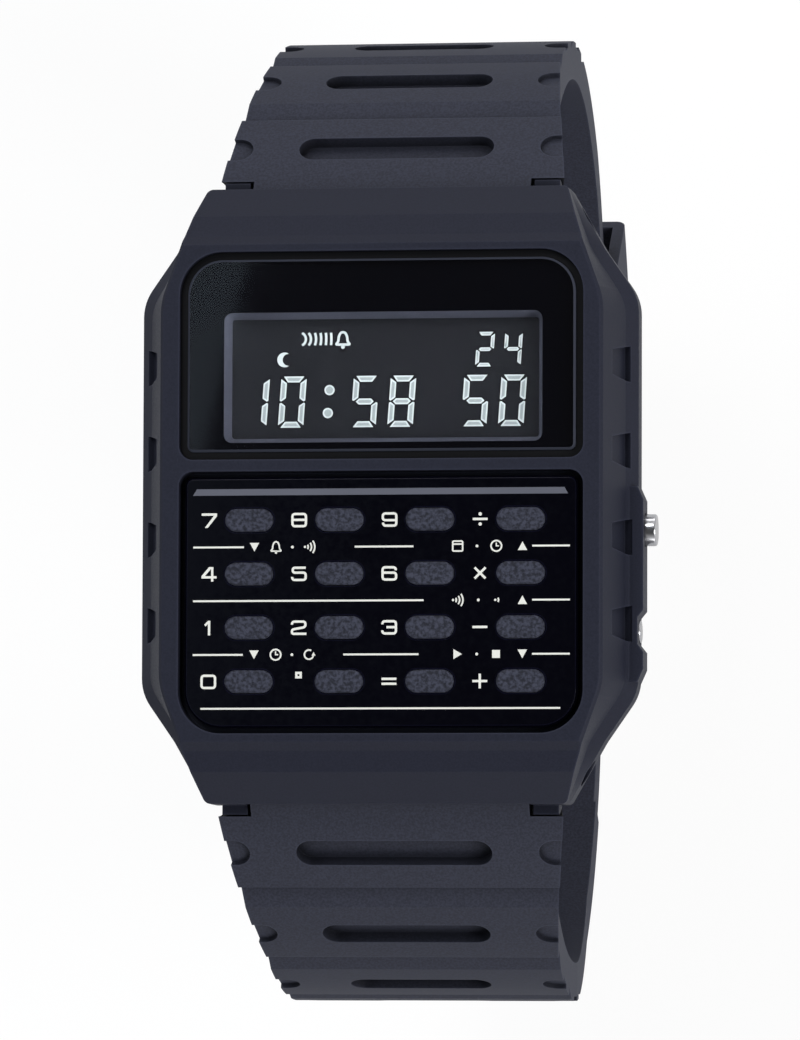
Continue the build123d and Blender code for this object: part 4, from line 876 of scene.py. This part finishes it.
# Width, height, stroke and gap of the two kinds of digit
LARGE = (1.88, 3.68, 0.5, 0.08)
SMALL = (1.32, 2.5, 0.33, 0.07)
LARGE_Y = 6.48
SMALL_Y = 10.07
TIME_FIGURES = (
    ("1", -9.17), ("0", -6.56), ("5", -1.44), ("8", 1.17), ("5", 6.35), ("0", 8.96),
)
DATE_FIGURES = (("2", 7.02), ("4", 8.98))
COLON_X = -3.99
COLON_YS = (7.3, 5.69)
COLON_RADIUS = 0.36

figures = []
for figure, figure_x in TIME_FIGURES:
    figures += digit(figure, figure_x, LARGE_Y, *LARGE)
for figure, figure_x in DATE_FIGURES:
    figures += digit(figure, figure_x, SMALL_Y, *SMALL)
for colon_y in COLON_YS:
    figures.append(disc(COLON_X + (colon_y - LARGE_Y) * LEAN, colon_y, COLON_RADIUS))

# Signal bars that straighten one after another, a bell and a crescent
BAR_COUNT = 6
BAR_FIRST_X = -5.62
BAR_PITCH = 0.36
BAR_Y = 10.89
BAR_HALF = 0.43
BAR_RADIUS = 0.48
BAR_RADIUS_STEP = 0.16
BAR_STEPS = 10
BELL = (-3.0, 10.86, 0.62)
CRESCENT = (-7.12, 9.45, 0.52, 0.42, 0.28)
CRESCENT_RIM = 0.07
MARK_LINE = 0.17
MARK_SHADOW_LINE = 0.3
SHADOW_RIM = 0.08
CORE_RIM = 0.11

small_marks = []
small_shadows = []
for bar in range(BAR_COUNT):
    radius = BAR_RADIUS + bar ** 2 * BAR_RADIUS_STEP
    spread_angle = math.degrees(math.asin(BAR_HALF / max(radius, BAR_HALF)))
    bar_x = BAR_FIRST_X + bar * BAR_PITCH - radius
    curve = arc(bar_x, BAR_Y, radius, -spread_angle, spread_angle, BAR_STEPS)
    small_marks += ribbon(curve, MARK_LINE)
    small_shadows += ribbon(curve, MARK_SHADOW_LINE)
small_marks += bell(*BELL, MARK_LINE)
small_shadows += bell(*BELL, MARK_SHADOW_LINE)
small_marks.append(crescent(*CRESCENT))
small_shadows.append(crescent(*CRESCENT, CRESCENT_RIM))


def show(name, outlines, height, material):
    mark(name, outlines, LCD_TOP - SINK, LCD_TOP + height, material)


# The dark rim round each figure, a painted shadow, lies lowest, then the figure, then its greyer
# core
RIM_HEIGHT = 0.006
FIGURE_HEIGHT = 0.014
CORE_HEIGHT = 0.02
shadows = [spread(outline, SHADOW_RIM) for outline in figures]
cores = [spread(outline, -CORE_RIM) for outline in figures]
show("lcd_shadow", shadows + small_shadows, RIM_HEIGHT, segment_shadow)
show("lcd_figures", figures + small_marks, FIGURE_HEIGHT, segment_light)
show("lcd_cores", cores, CORE_HEIGHT, segment_core)


# Floor, world, lights and camera

FLOOR_Z = -66 * MM
FLOOR_SIZE = 3
FLOOR_COLOUR = (0.86, 0.86, 0.86, 1)
FLOOR_ROUGHNESS = 0.9
FLOOR_GLOW = 1.04
FLOOR_GLOW_SHARE = 0.86
SKY_LOW = 0.3
SKY_HIGH = 0.9
SKY_OVERHEAD = 0.1
SKY_UNSEEN = 0.5

# The camera sees the floor as white, with the part's shadow in it
bpy.ops.mesh.primitive_plane_add(size=FLOOR_SIZE, location=(0, 0, FLOOR_Z))
floor = bpy.context.object
floor.name = "floor"
floor_material = bpy.data.materials.new("floor")
floor_material.use_nodes = True
floor_tree = floor_material.node_tree
floor_body = floor_tree.nodes["Principled BSDF"]
floor_body.inputs["Base Color"].default_value = FLOOR_COLOUR
floor_body.inputs["Roughness"].default_value = FLOOR_ROUGHNESS
floor_glow = add_node(floor_tree, "ShaderNodeEmission", Strength=FLOOR_GLOW)
floor_path = add_node(floor_tree, "ShaderNodeLightPath")
floor_surface = mix_shaders(
    floor_tree,
    maths(floor_tree, "MULTIPLY", floor_path.outputs["Is Camera Ray"], FLOOR_GLOW_SHARE),
    floor_body.outputs["BSDF"],
    floor_glow.outputs["Emission"],
)
floor_tree.links.new(floor_surface, floor_tree.nodes["Material Output"].inputs["Surface"])
floor.data.materials.append(floor_material)

# The sky is white low down and dim overhead, so that the dial stays black. Where only its
# light is seen, and not the sky itself, it counts for half.
world = bpy.data.worlds.new("studio")
bpy.context.scene.world = world
world.use_nodes = True
sky = world.node_tree
sky_place = add_node(sky, "ShaderNodeTexCoord")
sky_parts = add_node(sky, "ShaderNodeSeparateXYZ", Vector=sky_place.outputs["Generated"])
sky_fall = add_node(
    sky, "ShaderNodeMapRange", Value=sky_parts.outputs["Z"],
    From_Min=SKY_LOW, From_Max=SKY_HIGH, To_Min=1.0, To_Max=SKY_OVERHEAD,
)
sky_path = add_node(sky, "ShaderNodeLightPath").outputs
sky_seen = maths(sky, "MAXIMUM", sky_path["Is Camera Ray"], sky_path["Is Glossy Ray"])
sky_seen = maths(sky, "MAXIMUM", sky_seen, sky_path["Is Transmission Ray"])
sky_level = add_node(sky, "ShaderNodeMapRange", Value=sky_seen, To_Min=SKY_UNSEEN, To_Max=1.0)
sky_strength = maths(sky, "MULTIPLY", sky_level.outputs["Result"], sky_fall.outputs["Result"])
sky_ground = sky.nodes["Background"]
sky_ground.inputs["Color"].default_value = (1, 1, 1, 1)
sky.links.new(sky_strength, sky_ground.inputs["Strength"])


def softbox(name, place, target, size, power, tint=(1, 1, 1)):
    """A rectangular area light, in metres and watts, that faces a target."""
    light = bpy.data.lights.new(name, "AREA")
    light.shape = "RECTANGLE"
    light.size, light.size_y = size
    light.energy = power
    light.color = tint
    lamp = bpy.data.objects.new(name, light)
    bpy.context.scene.collection.objects.link(lamp)
    lamp.location = place
    aim = Vector(target) - Vector(place)
    lamp.rotation_euler = aim.to_track_quat("-Z", "Y").to_euler()


# The left card is only there to be seen in the crystal's left side
softbox("key_light", (-0.14, 0.30, 0.44), (0, 0, -0.01), (0.22, 0.22), 1.1)
softbox("fill_light", (0.40, -0.12, 0.34), (0, 0, -0.01), (0.2, 0.3), 1.6)
softbox("top_light", (0.05, 0.55, 0.10), (0, 0, -0.02), (0.4, 0.2), 0.45)
softbox("low_light", (0.05, -0.55, 0.10), (0, 0, -0.02), (0.4, 0.2), 0.45)
softbox("left_card", (-0.215, 0.05, 0.50), (0, 0, 0.0), (0.5, 0.24), 0.38, (0.7, 0.84, 1.0))

# The camera stands as the photograph's did: turned a little towards the buttons and down
YAW = math.radians(7.95)
PITCH = math.radians(4.0)
ROLL = math.radians(0.2)
DISTANCE = 500 * MM
PIXELS_PER_MM = 14.4
PHOTO_WIDTH = 800
PHOTO_HEIGHT = 1040
CENTRE_X = 380.0
CENTRE_Y = 491.3
SENSOR = 36
NEAREST = 0.01
FURTHEST = 10

level = math.cos(PITCH)
toward = Vector((math.sin(YAW) * level, -math.sin(PITCH), math.cos(YAW) * level))
camera_data = bpy.data.cameras.new("camera")
camera = bpy.data.objects.new("camera", camera_data)
bpy.context.scene.collection.objects.link(camera)
bpy.context.scene.camera = camera
camera.rotation_mode = "QUATERNION"
right = Vector((0, 1, 0)).cross(toward).normalized()
up = toward.cross(right)
turned_right = right * math.cos(ROLL) + up * math.sin(ROLL)
turned_up = up * math.cos(ROLL) - right * math.sin(ROLL)
shift_right = (PHOTO_WIDTH / 2 - CENTRE_X) / PIXELS_PER_MM * MM
shift_up = (CENTRE_Y - PHOTO_HEIGHT / 2) / PIXELS_PER_MM * MM
front = Vector((0, 0, cad_high.z))
camera.location = front + toward * DISTANCE + turned_right * shift_right + turned_up * shift_up
stance = Matrix((turned_right, turned_up, toward)).transposed()
camera.rotation_quaternion = stance.to_quaternion()
camera_data.sensor_width = SENSOR
camera_data.lens = SENSOR * DISTANCE / (PHOTO_HEIGHT / PIXELS_PER_MM * MM)
camera_data.clip_start = NEAREST
camera_data.clip_end = FURTHEST

bpy.context.scene.view_settings.view_transform = "Standard"
